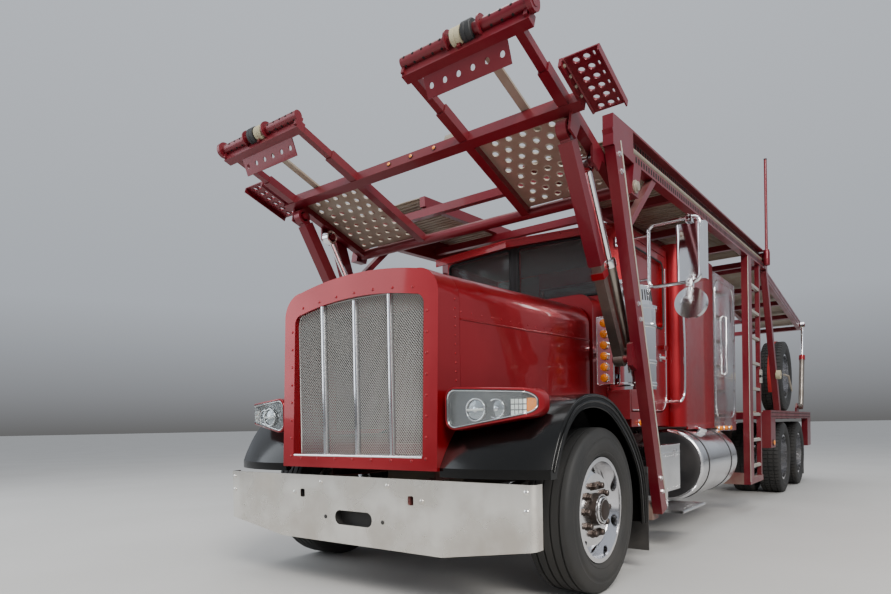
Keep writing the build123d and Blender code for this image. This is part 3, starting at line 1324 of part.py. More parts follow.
def lower_deck():
    """Low deck over the rear axles: side sills, cross beams and runways."""
    sill = block(RACK_X0 - 20, RACK_X1, LOWER_Y0, LOWER_Y1, LOWER_TOP - 100, LOWER_TOP)
    frame = both(sill)
    for y in (LOWER_Y0, 5300, 6700, 8000, LOWER_Y1 - 80):
        frame += block(-RACK_X0, RACK_X0, y, y + 80, LOWER_TOP - 100, LOWER_TOP - 20)
    for y in (5300, 6700, 8000):
        frame += both(block(RAIL_OUT_X - 70, RAIL_OUT_X, y, y + 80, RAIL_Z1, LOWER_TOP - 100))
    pin_y, pin_z = REAR_LIFT_PIN
    bracket = side_plate(
        [(pin_y - 120, LOWER_TOP), (pin_y - 120, pin_z - 20), (pin_y - 40, pin_z + 50),
         (pin_y + 60, pin_z + 50), (pin_y + 120, pin_z - 20), (pin_y + 120, LOWER_TOP)],
        RACK_X0 - 30, RACK_X0 - 10,
    )
    pin = cross_tube(*REAR_LIFT_PIN, PIN_R, RACK_X0 - 30, REAR_LIFT_X + 30)
    tail_plate = block(RACK_X0 - 20, RACK_X1, LOWER_Y1 - 360, LOWER_Y1, 560, LOWER_TOP - 100)
    guard = block(RACK_X0 - 90, RACK_X1, LOWER_Y0, LOWER_Y0 + 300, 640, LOWER_TOP - 100)
    guard -= block(RACK_X0 - 91, RACK_X1 - 8, LOWER_Y0 + 8, LOWER_Y0 + 292, 639, LOWER_TOP - 101)
    frame += both(bracket + pin + tail_plate + guard)
    save("lower_deck", frame + rear_braces())


def spare_wheel():
    """Spare wheel standing on the left sill, strapped to its carrier."""
    y = 6180.0
    z = LOWER_TOP + TYRE_R
    x = RACK_X1 - TYRE_W / 2 - 6
    save("spare_tyre", tyre(x, y, z))
    save("spare_rim", disc_wheel(x, y, z, REAR_FACE, REAR_SEAT, REAR_FACE + 6))


def rear_hitch():
    """Low drop hitch behind the axles, with the coupling pin's bore."""
    flat_y = REAR_TIP - HITCH_BORE_BACK - 110
    drop = side_plate(
        [(7990, RAIL_Z0 + 80), (7990, RAIL_Z0 - 60), (8140, 400), (flat_y - 20, HITCH_Z0),
         (REAR_TIP, HITCH_Z0), (REAR_TIP, HITCH_Z1), (flat_y, HITCH_Z1),
         (RAIL_REAR_Y, HITCH_Z1 + 90), (RAIL_REAR_Y, RAIL_Z0 + 80)],
        -HITCH_HALF, HITCH_HALF,
    )
    tongue_z = (HITCH_Z0 + HITCH_Z1) / 2
    drop -= Pos(0, REAR_TIP - HITCH_BORE_BACK, tongue_z) * Cylinder(HITCH_BORE_R, 240)
    cheeks = both(block(HITCH_HALF, RAIL_OUT_X - RAIL_WALL, 8040, 8110, RAIL_Z0 + 12, RAIL_Z1 - 70))
    save("rear_hitch", drop + cheeks)


def lamps():
    """Amber marker lamps and red tail lamps."""
    amber = Part()
    for n in range(LAMP_COUNT):
        z = 1285 + LAMP_PITCH * n
        amber += both(round_bar((890, 742, z), (890, 716, z), 26))
    under_cab = [(CAB_HALF, y, CAB_FLOOR) for y in (1420, 1640)]
    under_sleeper = [(SLEEPER_HALF, y, SLEEPER_Z0) for y in (3400, 3620, 3840)]
    for half, y, top in under_cab + under_sleeper:
        z = top - SKIRT_DROP / 2
        amber += both(round_bar((half, y, z), (half + SKIRT_LAMP_T, y, z), SKIRT_LAMP_R))
    tail = Part()
    for x in (800, 900, 1000):
        tail += both(round_bar((x, LOWER_Y1, 1040), (x, LOWER_Y1 + 22, 1040), 40))
    save("lamps", amber + tail)


def build():
    front_wheels()
    rear_wheels()
    front_axle()
    knuckles()
    chassis_frame()
    engine()
    driveline()
    rear_suspension()
    front_bumper()
    grille_shell()
    hood_skin()
    fenders()
    headlamps()
    cab()
    glazing()
    doors()
    cab_inside()
    steering_wheel()
    visor()
    sleeper()
    air_cleaners()
    mirrors()
    tanks()
    battery_boxes()
    mudflaps()
    main_deck()
    front_legs()
    rear_posts()
    head_ramp()
    fly_ramp()
    struts()
    cylinder("rear_lift", REAR_LIFT_PIN, rear_lift_eye(), 820.0, 530.0, REAR_LIFT_X, 36.0, 24.0)
    rear_ramp()
    lower_deck()
    spare_wheel()
    rear_hitch()
    lamps()


build()
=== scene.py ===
import math

import bmesh
import bpy
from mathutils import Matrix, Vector


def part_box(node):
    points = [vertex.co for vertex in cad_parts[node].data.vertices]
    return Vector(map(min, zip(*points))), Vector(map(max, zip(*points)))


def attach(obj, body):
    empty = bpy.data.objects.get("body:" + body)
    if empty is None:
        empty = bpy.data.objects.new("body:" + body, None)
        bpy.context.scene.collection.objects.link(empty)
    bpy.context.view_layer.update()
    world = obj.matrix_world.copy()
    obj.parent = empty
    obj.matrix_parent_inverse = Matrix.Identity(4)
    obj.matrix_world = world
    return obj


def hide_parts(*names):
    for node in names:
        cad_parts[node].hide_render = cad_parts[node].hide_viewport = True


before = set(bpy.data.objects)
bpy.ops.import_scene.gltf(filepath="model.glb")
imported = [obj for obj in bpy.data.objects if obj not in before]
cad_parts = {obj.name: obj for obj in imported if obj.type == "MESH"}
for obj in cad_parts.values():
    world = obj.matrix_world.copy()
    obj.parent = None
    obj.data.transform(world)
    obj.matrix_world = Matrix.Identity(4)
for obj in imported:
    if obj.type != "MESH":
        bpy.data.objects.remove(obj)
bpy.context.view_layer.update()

scene = bpy.context.scene

# View
# The truck is seen from low beside its left front corner, near enough that
# the head ramp hangs over the viewer. The front axle sets where it stands.

FRONT_AXLE_Y = -3.88395

camera_data = bpy.data.cameras.new("camera")
camera_data.sensor_width = 36.0
camera_data.lens = 25.0375
camera_data.shift_y = 0.1504
camera = bpy.data.objects.new("camera", camera_data)
camera.location = (2.6025, FRONT_AXLE_Y - 3.3657, 0.9684)
camera.rotation_euler = (math.radians(89.5816), math.radians(1.0396), math.radians(37.1641))
scene.collection.objects.link(camera)
scene.camera = camera

# Chassis frame
# Two pressed steel channel rails with cross members and outrigger beams,
# dipped in dark red frame paint that road dirt has dulled, and bolted.

weather = bpy.data.node_groups.new("weather", "ShaderNodeTree")
weather.interface.new_socket("Scale", in_out="INPUT", socket_type="NodeSocketFloat")
for socket_name in ("Patches", "Speckle", "Dust", "Streaks", "Top"):
    weather.interface.new_socket(socket_name, in_out="OUTPUT", socket_type="NodeSocketFloat")


def ramp_between(tree, value, low, high):
    """Spreads a value between low and high over nought to one."""
    node = tree.nodes.new("ShaderNodeMapRange")
    node.inputs["From Min"].default_value = low
    node.inputs["From Max"].default_value = high
    tree.links.new(value, node.inputs["Value"])
    return node.outputs["Result"]


def noise(tree, vector, scale, detail):
    """A cloud pattern on the piece's own coordinates."""
    node = tree.nodes.new("ShaderNodeTexNoise")
    node.inputs["Scale"].default_value = scale
    node.inputs["Detail"].default_value = detail
    tree.links.new(vector, node.inputs["Vector"])
    return node


def stretched(tree, vector, scale):
    """Object coordinates stretched by scale on each axis."""
    node = tree.nodes.new("ShaderNodeMapping")
    node.inputs["Scale"].default_value = scale
    tree.links.new(vector, node.inputs["Vector"])
    return node.outputs["Vector"]


def scaled(tree, value, factor, plus=0.0):
    """Value times factor, plus a constant."""
    node = tree.nodes.new("ShaderNodeMath")
    node.operation = "MULTIPLY_ADD"
    node.inputs[1].default_value = factor
    node.inputs[2].default_value = plus
    tree.links.new(value, node.inputs[0])
    return node.outputs["Value"]


def product(tree, first, second):
    """Two masks multiplied."""
    node = tree.nodes.new("ShaderNodeMath")
    node.operation = "MULTIPLY"
    tree.links.new(first, node.inputs[0])
    tree.links.new(second, node.inputs[1])
    return node.outputs["Value"]


def build_weather_and_sheen():
    """Large patches, fine speckle, low dust, running streaks, and upward faces for a painted sky sheen."""
    group_in = weather.nodes.new("NodeGroupInput")
    group_out = weather.nodes.new("NodeGroupOutput")
    place = weather.nodes.new("ShaderNodeTexCoord").outputs["Object"]
    patch = noise(weather, place, 1.0, 5.0)
    weather.links.new(group_in.outputs["Scale"], patch.inputs["Scale"])
    split = weather.nodes.new("ShaderNodeSeparateXYZ")
    weather.links.new(place, split.inputs["Vector"])
    low = ramp_between(weather, split.outputs["Z"], 1.0, 0.12)
    uneven = ramp_between(weather, patch.outputs["Fac"], 0.3, 0.65)
    run = noise(weather, stretched(weather, place, (14.0, 14.0, 0.7)), 1.0, 4.0)
    face = weather.nodes.new("ShaderNodeSeparateXYZ")
    weather.links.new(weather.nodes.new("ShaderNodeNewGeometry").outputs["Normal"], face.inputs["Vector"])
    results = {
        "Patches": ramp_between(weather, patch.outputs["Fac"], 0.38, 0.68),
        "Speckle": noise(weather, place, 90.0, 3.0).outputs["Fac"],
        "Dust": product(weather, low, uneven),
        "Streaks": ramp_between(weather, run.outputs["Fac"], 0.55, 0.8),
        "Top": product(weather, ramp_between(weather, face.outputs["Z"], 0.3, 0.95), uneven),
    }
    for label, socket in results.items():
        weather.links.new(socket, group_out.inputs[label])


build_weather_and_sheen()
# The pale pinkish tone of the painted sky reflection on upward faces.
PAINTED_TOP_SHEEN = (0.5, 0.42, 0.38)
ROAD_DUST = (0.33, 0.28, 0.22)
GRAIN_HEIGHT = 0.004
COAT_ROUGHNESS = 0.05
SHARP_FROM = 38


def blended(tree, factor, first, second):
    """A colour that turns from first to second by factor."""
    node = tree.nodes.new("ShaderNodeMix")
    node.data_type = "RGBA"
    tree.links.new(factor, node.inputs["Factor"])
    if isinstance(first, tuple):
        node.inputs["A"].default_value = (*first, 1.0)
    else:
        tree.links.new(first, node.inputs["A"])
    node.inputs["B"].default_value = (*second, 1.0)
    return node.outputs["Result"]


def finish(name, colour, rough, metal=0.0, coat=0.0, worn=(0.1, 0.08, 0.07), wear=0.25,
           dust=0.3, top=0.0, scale=2.5, bump=0.08, grain=90.0, brush=(1.0, 1.0, 1.0)):
    """A finish with wear, dust, streaks and grain."""
    mat = bpy.data.materials.new(name)
    mat.use_nodes = True
    tree = mat.node_tree
    bsdf = tree.nodes["Principled BSDF"]
    mask = tree.nodes.new("ShaderNodeGroup")
    mask.node_tree = weather
    mask.inputs["Scale"].default_value = scale
    tone = blended(tree, scaled(tree, mask.outputs["Patches"], wear), colour, worn)
    tone = blended(tree, scaled(tree, mask.outputs["Streaks"], wear * 0.4), tone, worn)
    # Where top is given, upward faces turn pale pinkish in patches: a painted sky reflection.
    if top:
        tone = blended(tree, scaled(tree, mask.outputs["Top"], top), tone, PAINTED_TOP_SHEEN)
    dirt = scaled(tree, mask.outputs["Dust"], dust)
    tone = blended(tree, dirt, tone, ROAD_DUST)
    tree.links.new(tone, bsdf.inputs["Base Color"])
    dull = scaled(tree, mask.outputs["Patches"], 0.3 * wear + 0.05, rough)
    total = tree.nodes.new("ShaderNodeMath")
    tree.links.new(dull, total.inputs[0])
    tree.links.new(scaled(tree, dirt, 0.6), total.inputs[1])
    tree.links.new(total.outputs["Value"], bsdf.inputs["Roughness"])
    bsdf.inputs["Metallic"].default_value = metal
    bsdf.inputs["Coat Weight"].default_value = coat
    bsdf.inputs["Coat Roughness"].default_value = COAT_ROUGHNESS
    place = tree.nodes.new("ShaderNodeTexCoord").outputs["Object"]
    relief = tree.nodes.new("ShaderNodeBump")
    relief.inputs["Strength"].default_value = bump
    relief.inputs["Distance"].default_value = GRAIN_HEIGHT
    fine = noise(tree, stretched(tree, place, brush), grain, 4.0)
    tree.links.new(fine.outputs["Fac"], relief.inputs["Height"])
    tree.links.new(relief.outputs["Normal"], bsdf.inputs["Normal"])
    return mat


def coat_nodes(material, *names):
    """Gives CAD nodes their finish."""
    for name in names:
        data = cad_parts[name].data
        data.materials.clear()
        data.materials.append(material)


def at(x, y, z):
    """A place in metres, from millimetres measured from the front axle."""
    return Vector((x / 1000, y / 1000 + FRONT_AXLE_Y, z / 1000))


def face_outwards(data):
    """Turns every face of a mesh outwards."""
    shell = bmesh.new()
    shell.from_mesh(data)
    bmesh.ops.recalc_face_normals(shell, faces=shell.faces)
    shell.to_mesh(data)
    shell.free()


def mounted(name, data, body):
    """An object at the origin that rides on one CAD body."""
    obj = bpy.data.objects.new(name, data)
    scene.collection.objects.link(obj)
    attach(obj, body)
    return obj


def piece(name, verts, faces, material, body, smooth=False):
    """A piece from corners in metres and the faces between them."""
    data = bpy.data.meshes.new(name)
    data.from_pydata([tuple(v) for v in verts], [], faces)
    face_outwards(data)
    data.materials.append(material)
    if smooth:
        data.shade_smooth()
        data.set_sharp_from_angle(angle=math.radians(SHARP_FROM))
    return mounted(name, data, body)


def repeat_tree():
    """Stands one small shape on every point, turned and sized."""
    tree = bpy.data.node_groups.new("repeat on points", "GeometryNodeTree")
    tree.interface.new_socket("Points", in_out="INPUT", socket_type="NodeSocketGeometry")
    tree.interface.new_socket("Shape", in_out="INPUT", socket_type="NodeSocketObject")
    for label in ("Width", "Depth", "Height"):
        tree.interface.new_socket(label, in_out="INPUT", socket_type="NodeSocketFloat")
    tree.interface.new_socket("Material", in_out="INPUT", socket_type="NodeSocketMaterial")
    tree.interface.new_socket("Pieces", in_out="OUTPUT", socket_type="NodeSocketGeometry")
    group_in = tree.nodes.new("NodeGroupInput")
    shape = tree.nodes.new("GeometryNodeObjectInfo")
    tree.links.new(group_in.outputs["Shape"], shape.inputs["Object"])
    turn = tree.nodes.new("GeometryNodeInputNamedAttribute")
    turn.data_type = "FLOAT_VECTOR"
    turn.inputs["Name"].default_value = "turn"
    rotation = tree.nodes.new("FunctionNodeEulerToRotation")
    tree.links.new(turn.outputs["Attribute"], rotation.inputs["Euler"])
    size = tree.nodes.new("ShaderNodeCombineXYZ")
    for axis, label in zip("XYZ", ("Width", "Depth", "Height")):
        tree.links.new(group_in.outputs[label], size.inputs[axis])
    place = tree.nodes.new("GeometryNodeInstanceOnPoints")
    tree.links.new(group_in.outputs["Points"], place.inputs["Points"])
    tree.links.new(shape.outputs["Geometry"], place.inputs["Instance"])
    tree.links.new(rotation.outputs["Rotation"], place.inputs["Rotation"])
    tree.links.new(size.outputs["Vector"], place.inputs["Scale"])
    end_tree(tree, group_in, place.outputs["Instances"])
    return tree


def end_tree(tree, group_in, geometry):
    """Every tree ends in real geometry with its material."""
    real = tree.nodes.new("GeometryNodeRealizeInstances")
    tree.links.new(geometry, real.inputs["Geometry"])
    paint = tree.nodes.new("GeometryNodeSetMaterial")
    tree.links.new(real.outputs["Geometry"], paint.inputs["Geometry"])
    tree.links.new(group_in.outputs["Material"], paint.inputs["Material"])
    group_out = tree.nodes.new("NodeGroupOutput")
    tree.links.new(paint.outputs["Geometry"], group_out.inputs[0])


def grown(name, data, tree, settings, material, body, sharp=SHARP_FROM):
    """Runs a Geometry Nodes tree on a mesh and keeps the plain result."""
    carrier = bpy.data.objects.new(name + "_carrier", data)
    scene.collection.objects.link(carrier)
    modifier = carrier.modifiers.new("grow", "NODES")
    modifier.node_group = tree
    sockets = {}
    for item in tree.interface.items_tree:
        if item.item_type == "SOCKET":
            sockets[item.name] = item.identifier
    for label, value in settings.items():
        modifier[sockets[label]] = value
    modifier[sockets["Material"]] = material
    made = bpy.data.meshes.new_from_object(carrier.evaluated_get(bpy.context.evaluated_depsgraph_get()))
    carrier.modifiers.remove(modifier)
    bpy.data.objects.remove(carrier)
    face_outwards(made)
    made.name = name
    made.shade_smooth()
    made.set_sharp_from_angle(angle=math.radians(sharp))
    return mounted(name, made, body)


def small_shape(name, rings, sides, square=False):
    """A low shape for repeats, given as rings of (radius, height)."""
    verts = []
    for radius, height in rings:
        for n in range(sides):
            angle = 2 * math.pi * (n + (0.5 if square else 0)) / sides
            reach = radius / (math.cos(math.pi / sides) if square else 1)
            verts.append((reach * math.cos(angle), reach * math.sin(angle), height))
    faces = [tuple(range(sides))[::-1], tuple(range(len(verts) - sides, len(verts)))]
    for r in range(len(rings) - 1):
        for n in range(sides):
            m = (n + 1) % sides
            faces.append((r * sides + n, r * sides + m, (r + 1) * sides + m, (r + 1) * sides + n))
    data = bpy.data.meshes.new(name)
    data.from_pydata(verts, [], faces)
    return bpy.data.objects.new(name, data)


bolt_shape = small_shape("bolt", [(1.25, -0.3), (1.25, 0.2), (0.98, 0.22), (0.98, 0.85), (0.8, 1.0)], 6)
repeat_group = repeat_tree()


def repeated(name, shape, places, width, depth, height, material, body):
    """Repeats a shape at (place, direction) pairs; its height points along."""
    data = bpy.data.meshes.new(name + "_points")
    data.from_pydata([tuple(place) for place, _ in places], [], [])
    turn = data.attributes.new("turn", "FLOAT_VECTOR", "POINT")
    for n, (_, direction) in enumerate(places):
        turn.data[n].vector = Vector(direction).to_track_quat("Z", "Y").to_euler()
    scene.collection.objects.link(shape)
    settings = {"Shape": shape, "Width": width, "Depth": depth, "Height": height}
    obj = grown(name, data, repeat_group, settings, material, body)
    scene.collection.objects.unlink(shape)
    return obj


frame_paint = finish("frame paint", (0.10, 0.010, 0.012), 0.5, coat=0.1,
                     worn=(0.16, 0.12, 0.1), wear=0.5, dust=0.6)
coat_nodes(frame_paint, "chassis_rails")

RAIL_SIDE = 430
CROSS_MEMBERS = (1300, 2000, 2600, 3200, 4500, 5000, 5600, 6700, 8100)
rail_bolts = []
for s in (-1, 1):
    for y in CROSS_MEMBERS:
        for dy, z in ((-40, 710), (40, 710), (-40, 880), (40, 880)):
            rail_bolts.append((at(s * RAIL_SIDE, y + dy, z), (s, 0, 0)))
repeated("rail_bolts", bolt_shape, rail_bolts, 0.012, 0.012, 0.012, frame_paint, "chassis")

# Axles, engine and suspension
# Cast and forged running gear under the hood and the deck: rough black iron
# with oil and road dirt, left as it comes from the foundry.

cast_iron = finish("cast iron", (0.045, 0.042, 0.04), 0.65, metal=0.3, worn=(0.12, 0.07, 0.045),
                   wear=0.6, dust=0.7, bump=0.3)
coat_nodes(cast_iron, "front_axle", "engine_and_radiator", "driveline", "rear_suspension",
           "steering_knuckle_left", "steering_knuckle_right")

# Front bumper
# One wide bent plate of polished steel that has gone cloudy, held by round
# headed bolts, with two tow holes and a cable slot, each backed by a near-black
# cup that paints the shade inside it.

bumper_steel = finish("bumper steel", (0.82, 0.79, 0.74), 0.13, metal=1.0, worn=(0.6, 0.54, 0.46),
                      wear=0.7, dust=0.1, scale=4.0, bump=0.03, grain=30.0)
coat_nodes(bumper_steel, "front_bumper")
# Near-black rubber, also used as painted shade inside holes and slots.
rubber_and_shade = finish("soft rubber", (0.012, 0.012, 0.013), 0.55, worn=(0.035, 0.035, 0.035),
                     wear=0.4, dust=0.12, bump=0.15)

dome_shape = small_shape("dome", [(1.0, -0.3), (1.0, 0.25), (0.8, 0.7), (0.35, 1.0)], 10)
plug_shape = small_shape("plug", [(1.0, -0.5), (1.0, 0.4), (0.85, 0.5)], 14)
FORWARD = (0, -1, 0)
BUMPER_FACE = -836
SHADE_CUP_FRONT = -827
SHADE_CUP_BACK = -775
bumper_bolts = [(s * x, z) for x, z in ((517, 572), (272, 644), (1150, 650), (1150, 560)) for s in (-1, 1)]
repeated("bumper_bolts", dome_shape, [(at(x, BUMPER_FACE, z), FORWARD) for x, z in bumper_bolts],
         0.015, 0.015, 0.008, bumper_steel, "chassis")
repeated("bumper_plugs", plug_shape, [(at(x, BUMPER_FACE, 440), FORWARD) for x in (-233, 233)],
         0.012, 0.012, 0.005, rubber_and_shade, "chassis")


def rounded(outline, radius, steps=5):
    """A closed outline of two numbers a point, its corners rounded."""
    points = []
    count = len(outline)
    for n in range(count):
        corner = Vector(outline[n])
        before = (Vector(outline[n - 1]) - corner).normalized()
        after = (Vector(outline[(n + 1) % count]) - corner).normalized()
        half = math.acos(max(-1.0, min(1.0, before.dot(after)))) / 2
        centre = corner + (before + after).normalized() * radius / math.sin(half)
        start = corner + before * radius / math.tan(half) - centre
        end = corner + after * radius / math.tan(half) - centre
        for k in range(steps + 1):
            way = start.slerp(end, k / steps)
            points.append(tuple(centre + way.normalized() * radius))
    return points


def rounded_box(low, high, radius, steps=5):
    """A rectangle between two corners, its corners rounded."""
    return rounded([low, (high[0], low[1]), high, (low[0], high[1])], radius, steps)


def shade_cup(name, outline):
    """An open near-black cup behind a hole, painted shade inside it: a wall round the outline and a back."""
    count = len(outline)
    middle_x = sum(p[0] for p in outline) / count
    middle_z = sum(p[1] for p in outline) / count
    verts = []
    for grow, y in ((1.0, SHADE_CUP_FRONT), (1.0, SHADE_CUP_BACK), (0.93, SHADE_CUP_BACK - 3), (0.93, SHADE_CUP_FRONT)):
        for x, z in outline:
            verts.append(at(middle_x + (x - middle_x) * grow, y, middle_z + (z - middle_z) * grow))
    faces = [tuple(range(count, 2 * count)), tuple(range(2 * count, 3 * count))[::-1]]
    for n in range(count):
        m = (n + 1) % count
        for low, high in ((0, 1), (2, 3), (3, 0)):
            faces.append((low * count + n, low * count + m, high * count + m, high * count + n))
    return piece(name, verts, faces, rubber_and_shade, "chassis")


SIDES = (("left", 1), ("right", -1))
for side, s in SIDES:
    shade_cup(f"tow_hole_liner_{side}", rounded_box((s * 440 - 30, 538), (s * 440 + 30, 608), 12))
shade_cup("cable_slot_liner", rounded_box((-170, 392), (170, 496), 45))

# Hood and grille surround
# Fibreglass hood and grille shell in deep candy red with a clear coat, joined
# by a riveted seam, with a pressed crease along each side and a centre strip.

red_paint = finish("red paint", (0.27, 0.0015, 0.007), 0.28, metal=0.6, coat=0.5,
                   worn=(0.33, 0.006, 0.014), wear=0.5, dust=0.04, bump=0.012, grain=14.0)
coat_nodes(red_paint, "hood", "grille_shell")
HOOD_FRONT = -610
HOOD_LENGTH = 1470
HOOD_HALF = 623
HOOD_FLARE = 99
HOOD_TOP = 1872
HOOD_RISE = 18
SEAM_Y = -650
UPWARD = (0, 0, 1)


def rod_tree():
    """Sweeps a round section along the edges of a mesh."""
    tree = bpy.data.node_groups.new("round section on path", "GeometryNodeTree")
    tree.interface.new_socket("Path", in_out="INPUT", socket_type="NodeSocketGeometry")
    tree.interface.new_socket("Radius", in_out="INPUT", socket_type="NodeSocketFloat")
    tree.interface.new_socket("Sides", in_out="INPUT", socket_type="NodeSocketInt")
    tree.interface.new_socket("Material", in_out="INPUT", socket_type="NodeSocketMaterial")
    tree.interface.new_socket("Rod", in_out="OUTPUT", socket_type="NodeSocketGeometry")
    group_in = tree.nodes.new("NodeGroupInput")
    curve = tree.nodes.new("GeometryNodeMeshToCurve")
    tree.links.new(group_in.outputs["Path"], curve.inputs["Mesh"])
    circle = tree.nodes.new("GeometryNodeCurvePrimitiveCircle")
    tree.links.new(group_in.outputs["Radius"], circle.inputs["Radius"])
    tree.links.new(group_in.outputs["Sides"], circle.inputs["Resolution"])
    sweep = tree.nodes.new("GeometryNodeCurveToMesh")
    sweep.inputs["Fill Caps"].default_value = True
    tree.links.new(curve.outputs["Curve"], sweep.inputs["Curve"])
    tree.links.new(circle.outputs["Curve"], sweep.inputs["Profile Curve"])
    end_tree(tree, group_in, sweep.outputs["Mesh"])
    return tree


rod_group = rod_tree()
ROD_SHARP_FROM = 60


def rods(name, paths, radius, material, body, sides=10, closed=False):
    """Round bars, beads or wires along one or more paths."""
    verts = []
    edges = []
    for path in paths:
        first = len(verts)
        verts += [tuple(p) for p in path]
        edges += [(n, n + 1) for n in range(first, len(verts) - 1)]
        if closed:
            edges.append((len(verts) - 1, first))
    data = bpy.data.meshes.new(name + "_path")
    data.from_pydata(verts, edges, [])
    return grown(name, data, rod_group, {"Radius": radius, "Sides": sides}, material, body, ROD_SHARP_FROM)


def hood_side(y):
    """Half width of the hood at y."""
    return HOOD_HALF + HOOD_FLARE * (y - HOOD_FRONT) / HOOD_LENGTH


hood_rivets = []
for s in (-1, 1):
    for z in range(775, 1658, 49):
        hood_rivets.append((at(s * HOOD_HALF, SEAM_Y, z), (s, 0, 0)))
    for y in range(-594, 723, 94):
        hood_rivets.append((at(s * (hood_side(y) - 1), y, 1596), (s, 0, 0)))
    for y in range(-560, 761, 88):
        z = HOOD_TOP + HOOD_RISE * (y - HOOD_FRONT) / HOOD_LENGTH + 1
        hood_rivets.append((at(s * 24, y, z), UPWARD))
for x in range(-450, 451, 50):
    hood_rivets.append((at(x, SEAM_Y, HOOD_TOP - 48 * (x / 473) ** 2), (x / 3000, 0, 1)))
repeated("hood_rivets", dome_shape, hood_rivets, 0.0065, 0.0065, 0.0042, red_paint, "hood_body")
creases = []
for s in (-1, 1):
    crease = [at(s * HOOD_HALF, -604, 1556)]
    crease += [at(s * (hood_side(y) + 0.5), y, z) for y, z in ((120, 1564), (845, 1574))]
    creases.append(crease)
rods("hood_creases", creases, 0.006, red_paint, "hood_body")
centre_beads = [[at(x, -600, HOOD_TOP + 0.5), at(x, 850, HOOD_TOP + HOOD_RISE + 0.5)] for x in (-36, 0, 36)]
rods("hood_centre_beads", centre_beads, 0.004, red_paint, "hood_body")

SHELL_FACE = -835
SHELL_LEAN = 46
SHELL_FOOT = 735
SHELL_HEIGHT = 1137
shell_bolts = [(s * 549, 800 + 112 * n) for s in (-1, 1) for n in range(8)]
shell_bolts += [(x, 787) for x in range(-450, 451, 150)]
shell_bolts += [(x, 1758 - 44 * (x / 526) ** 2) for x in range(-450, 451, 150)]
repeated("grille_surround_bolts", dome_shape,
         [(at(x, SHELL_FACE + SHELL_LEAN * (z - SHELL_FOOT) / SHELL_HEIGHT, z), (0, -1, 0.04))
          for x, z in shell_bolts],
         0.0085, 0.0085, 0.005, red_paint, "hood_body")

# Grille
# Bright wire woven in diamonds, stretched in the opening of the surround
# behind three polished upright bars, with a bright sill along the bottom.

grille_wire = finish("grille wire", (0.4, 0.4, 0.39), 0.3, metal=1.0, worn=(0.3, 0.29, 0.27),
                     wear=0.4, dust=0.1)
coat_nodes(grille_wire, "grille_mesh")
chrome = finish("chrome", (0.84, 0.84, 0.86), 0.06, metal=1.0, worn=(0.6, 0.59, 0.57), wear=0.2,
                dust=0.25, bump=0.015)
MESH_HALF = 526
MESH_LOW = 806
MESH_HIGH = 1734
MESH_CORNER = 60
MESH_CROWN = 40
MESH_PITCH = 17.0
WIRE_SLANT = 0.9
WIRE_SAMPLES = 160
RIM_Y = -768


def in_mesh(x, z):
    """True where the opening of the surround is."""
    if abs(x) > MESH_HALF or z < MESH_LOW:
        return False
    top = MESH_HIGH - MESH_CROWN * (x / MESH_HALF) ** 2
    over_x = abs(x) - (MESH_HALF - MESH_CORNER)
    over_z = z - (top - MESH_CORNER)
    if over_x > 0 and over_z > 0:
        return over_x ** 2 + over_z ** 2 < MESH_CORNER ** 2
    return z < top


wires = []
height = MESH_HIGH - MESH_LOW
for lean in (-1, 1):
    reach = height * WIRE_SLANT
    n_wires = int((2 * MESH_HALF + reach) / MESH_PITCH)
    for n in range(n_wires + 1):
        foot = -MESH_HALF - reach / 2 + n * MESH_PITCH - lean * reach / 2
        run = []
        for k in range(WIRE_SAMPLES + 1):
            share = k / WIRE_SAMPLES
            x = foot + lean * reach * share
            z = MESH_LOW + height * share
            if in_mesh(x, z):
                run.append((x, z))
        if len(run) > 2:
            y = -767 if lean > 0 else -765.5
            wires.append([at(run[0][0], y, run[0][1]), at(run[-1][0], y, run[-1][1])])
mesh_wires = rods("grille_wires", wires, 0.0024, grille_wire, "hood_body", sides=4)
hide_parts("grille_mesh")


def lofted(name, loops, material, body, smooth=False):
    """A solid through loops of equal count, closed at both ends."""
    count = len(loops[0])
    last = count * (len(loops) - 1)
    faces = [tuple(range(count)), tuple(range(last, last + count))]
    for first in range(0, last, count):
        for k in range(count):
            m = (k + 1) % count
            faces.append((first + k, first + m, first + count + m, first + count + k))
    return piece(name, [corner for loop in loops for corner in loop], faces, material, body, smooth)


BAR_SECTION = [(-12, -770), (-12, -792), (-8, -799), (0, -801), (8, -799), (12, -792), (12, -770)]
for n, x in enumerate((-273, 0, 273), 1):
    loops = [[at(x + dx, y, z) for dx, y in BAR_SECTION] for z in (809, 1712)]
    bar = lofted(f"grille_bar_{n}", loops, chrome, "hood_body", smooth=True)
    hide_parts("grille_mesh")
rods("grille_sill", [[at(-520, -826, 806), at(520, -826, 806)]], 0.008, chrome, "hood_body")
rim = [at(x, RIM_Y, 1730 - MESH_CROWN * (x / MESH_HALF) ** 2) for x in range(-460, 461, 92)]
rim_corners = ((505, 1672), (522, 1620), (522, 812), (-522, 812), (-522, 1620), (-505, 1672))
rim += [at(x, RIM_Y, z) for x, z in rim_corners]
mesh_rim = rods("grille_mesh_rim", [rim], 0.005, grille_wire, "hood_body", sides=8, closed=True)
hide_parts("grille_mesh")

# Fenders
# Black moulded fenders with a deep gloss, fixed to the hood, each with two
# rolled beads round the wheel opening.

black_paint = finish("black paint", (0.002, 0.002, 0.002), 0.16, coat=0.0,
                     worn=(0.008, 0.008, 0.008), wear=0.1, dust=0.02, bump=0.01, grain=8.0)
black_paint.node_tree.nodes["Principled BSDF"].inputs["Specular IOR Level"].default_value = 0.3
coat_nodes(black_paint, "fenders")
FENDER_LINE = [(-812, 752), (-762, 832), (-640, 968), (-430, 1090), (-200, 1132), (40, 1096), (250, 984),
               (425, 838), (545, 672), (592, 500), (606, 330)]
NOSE_START = -430
NOSE_LENGTH = 382
NOSE_SETBACK = 96
FENDER_FACE = 1218


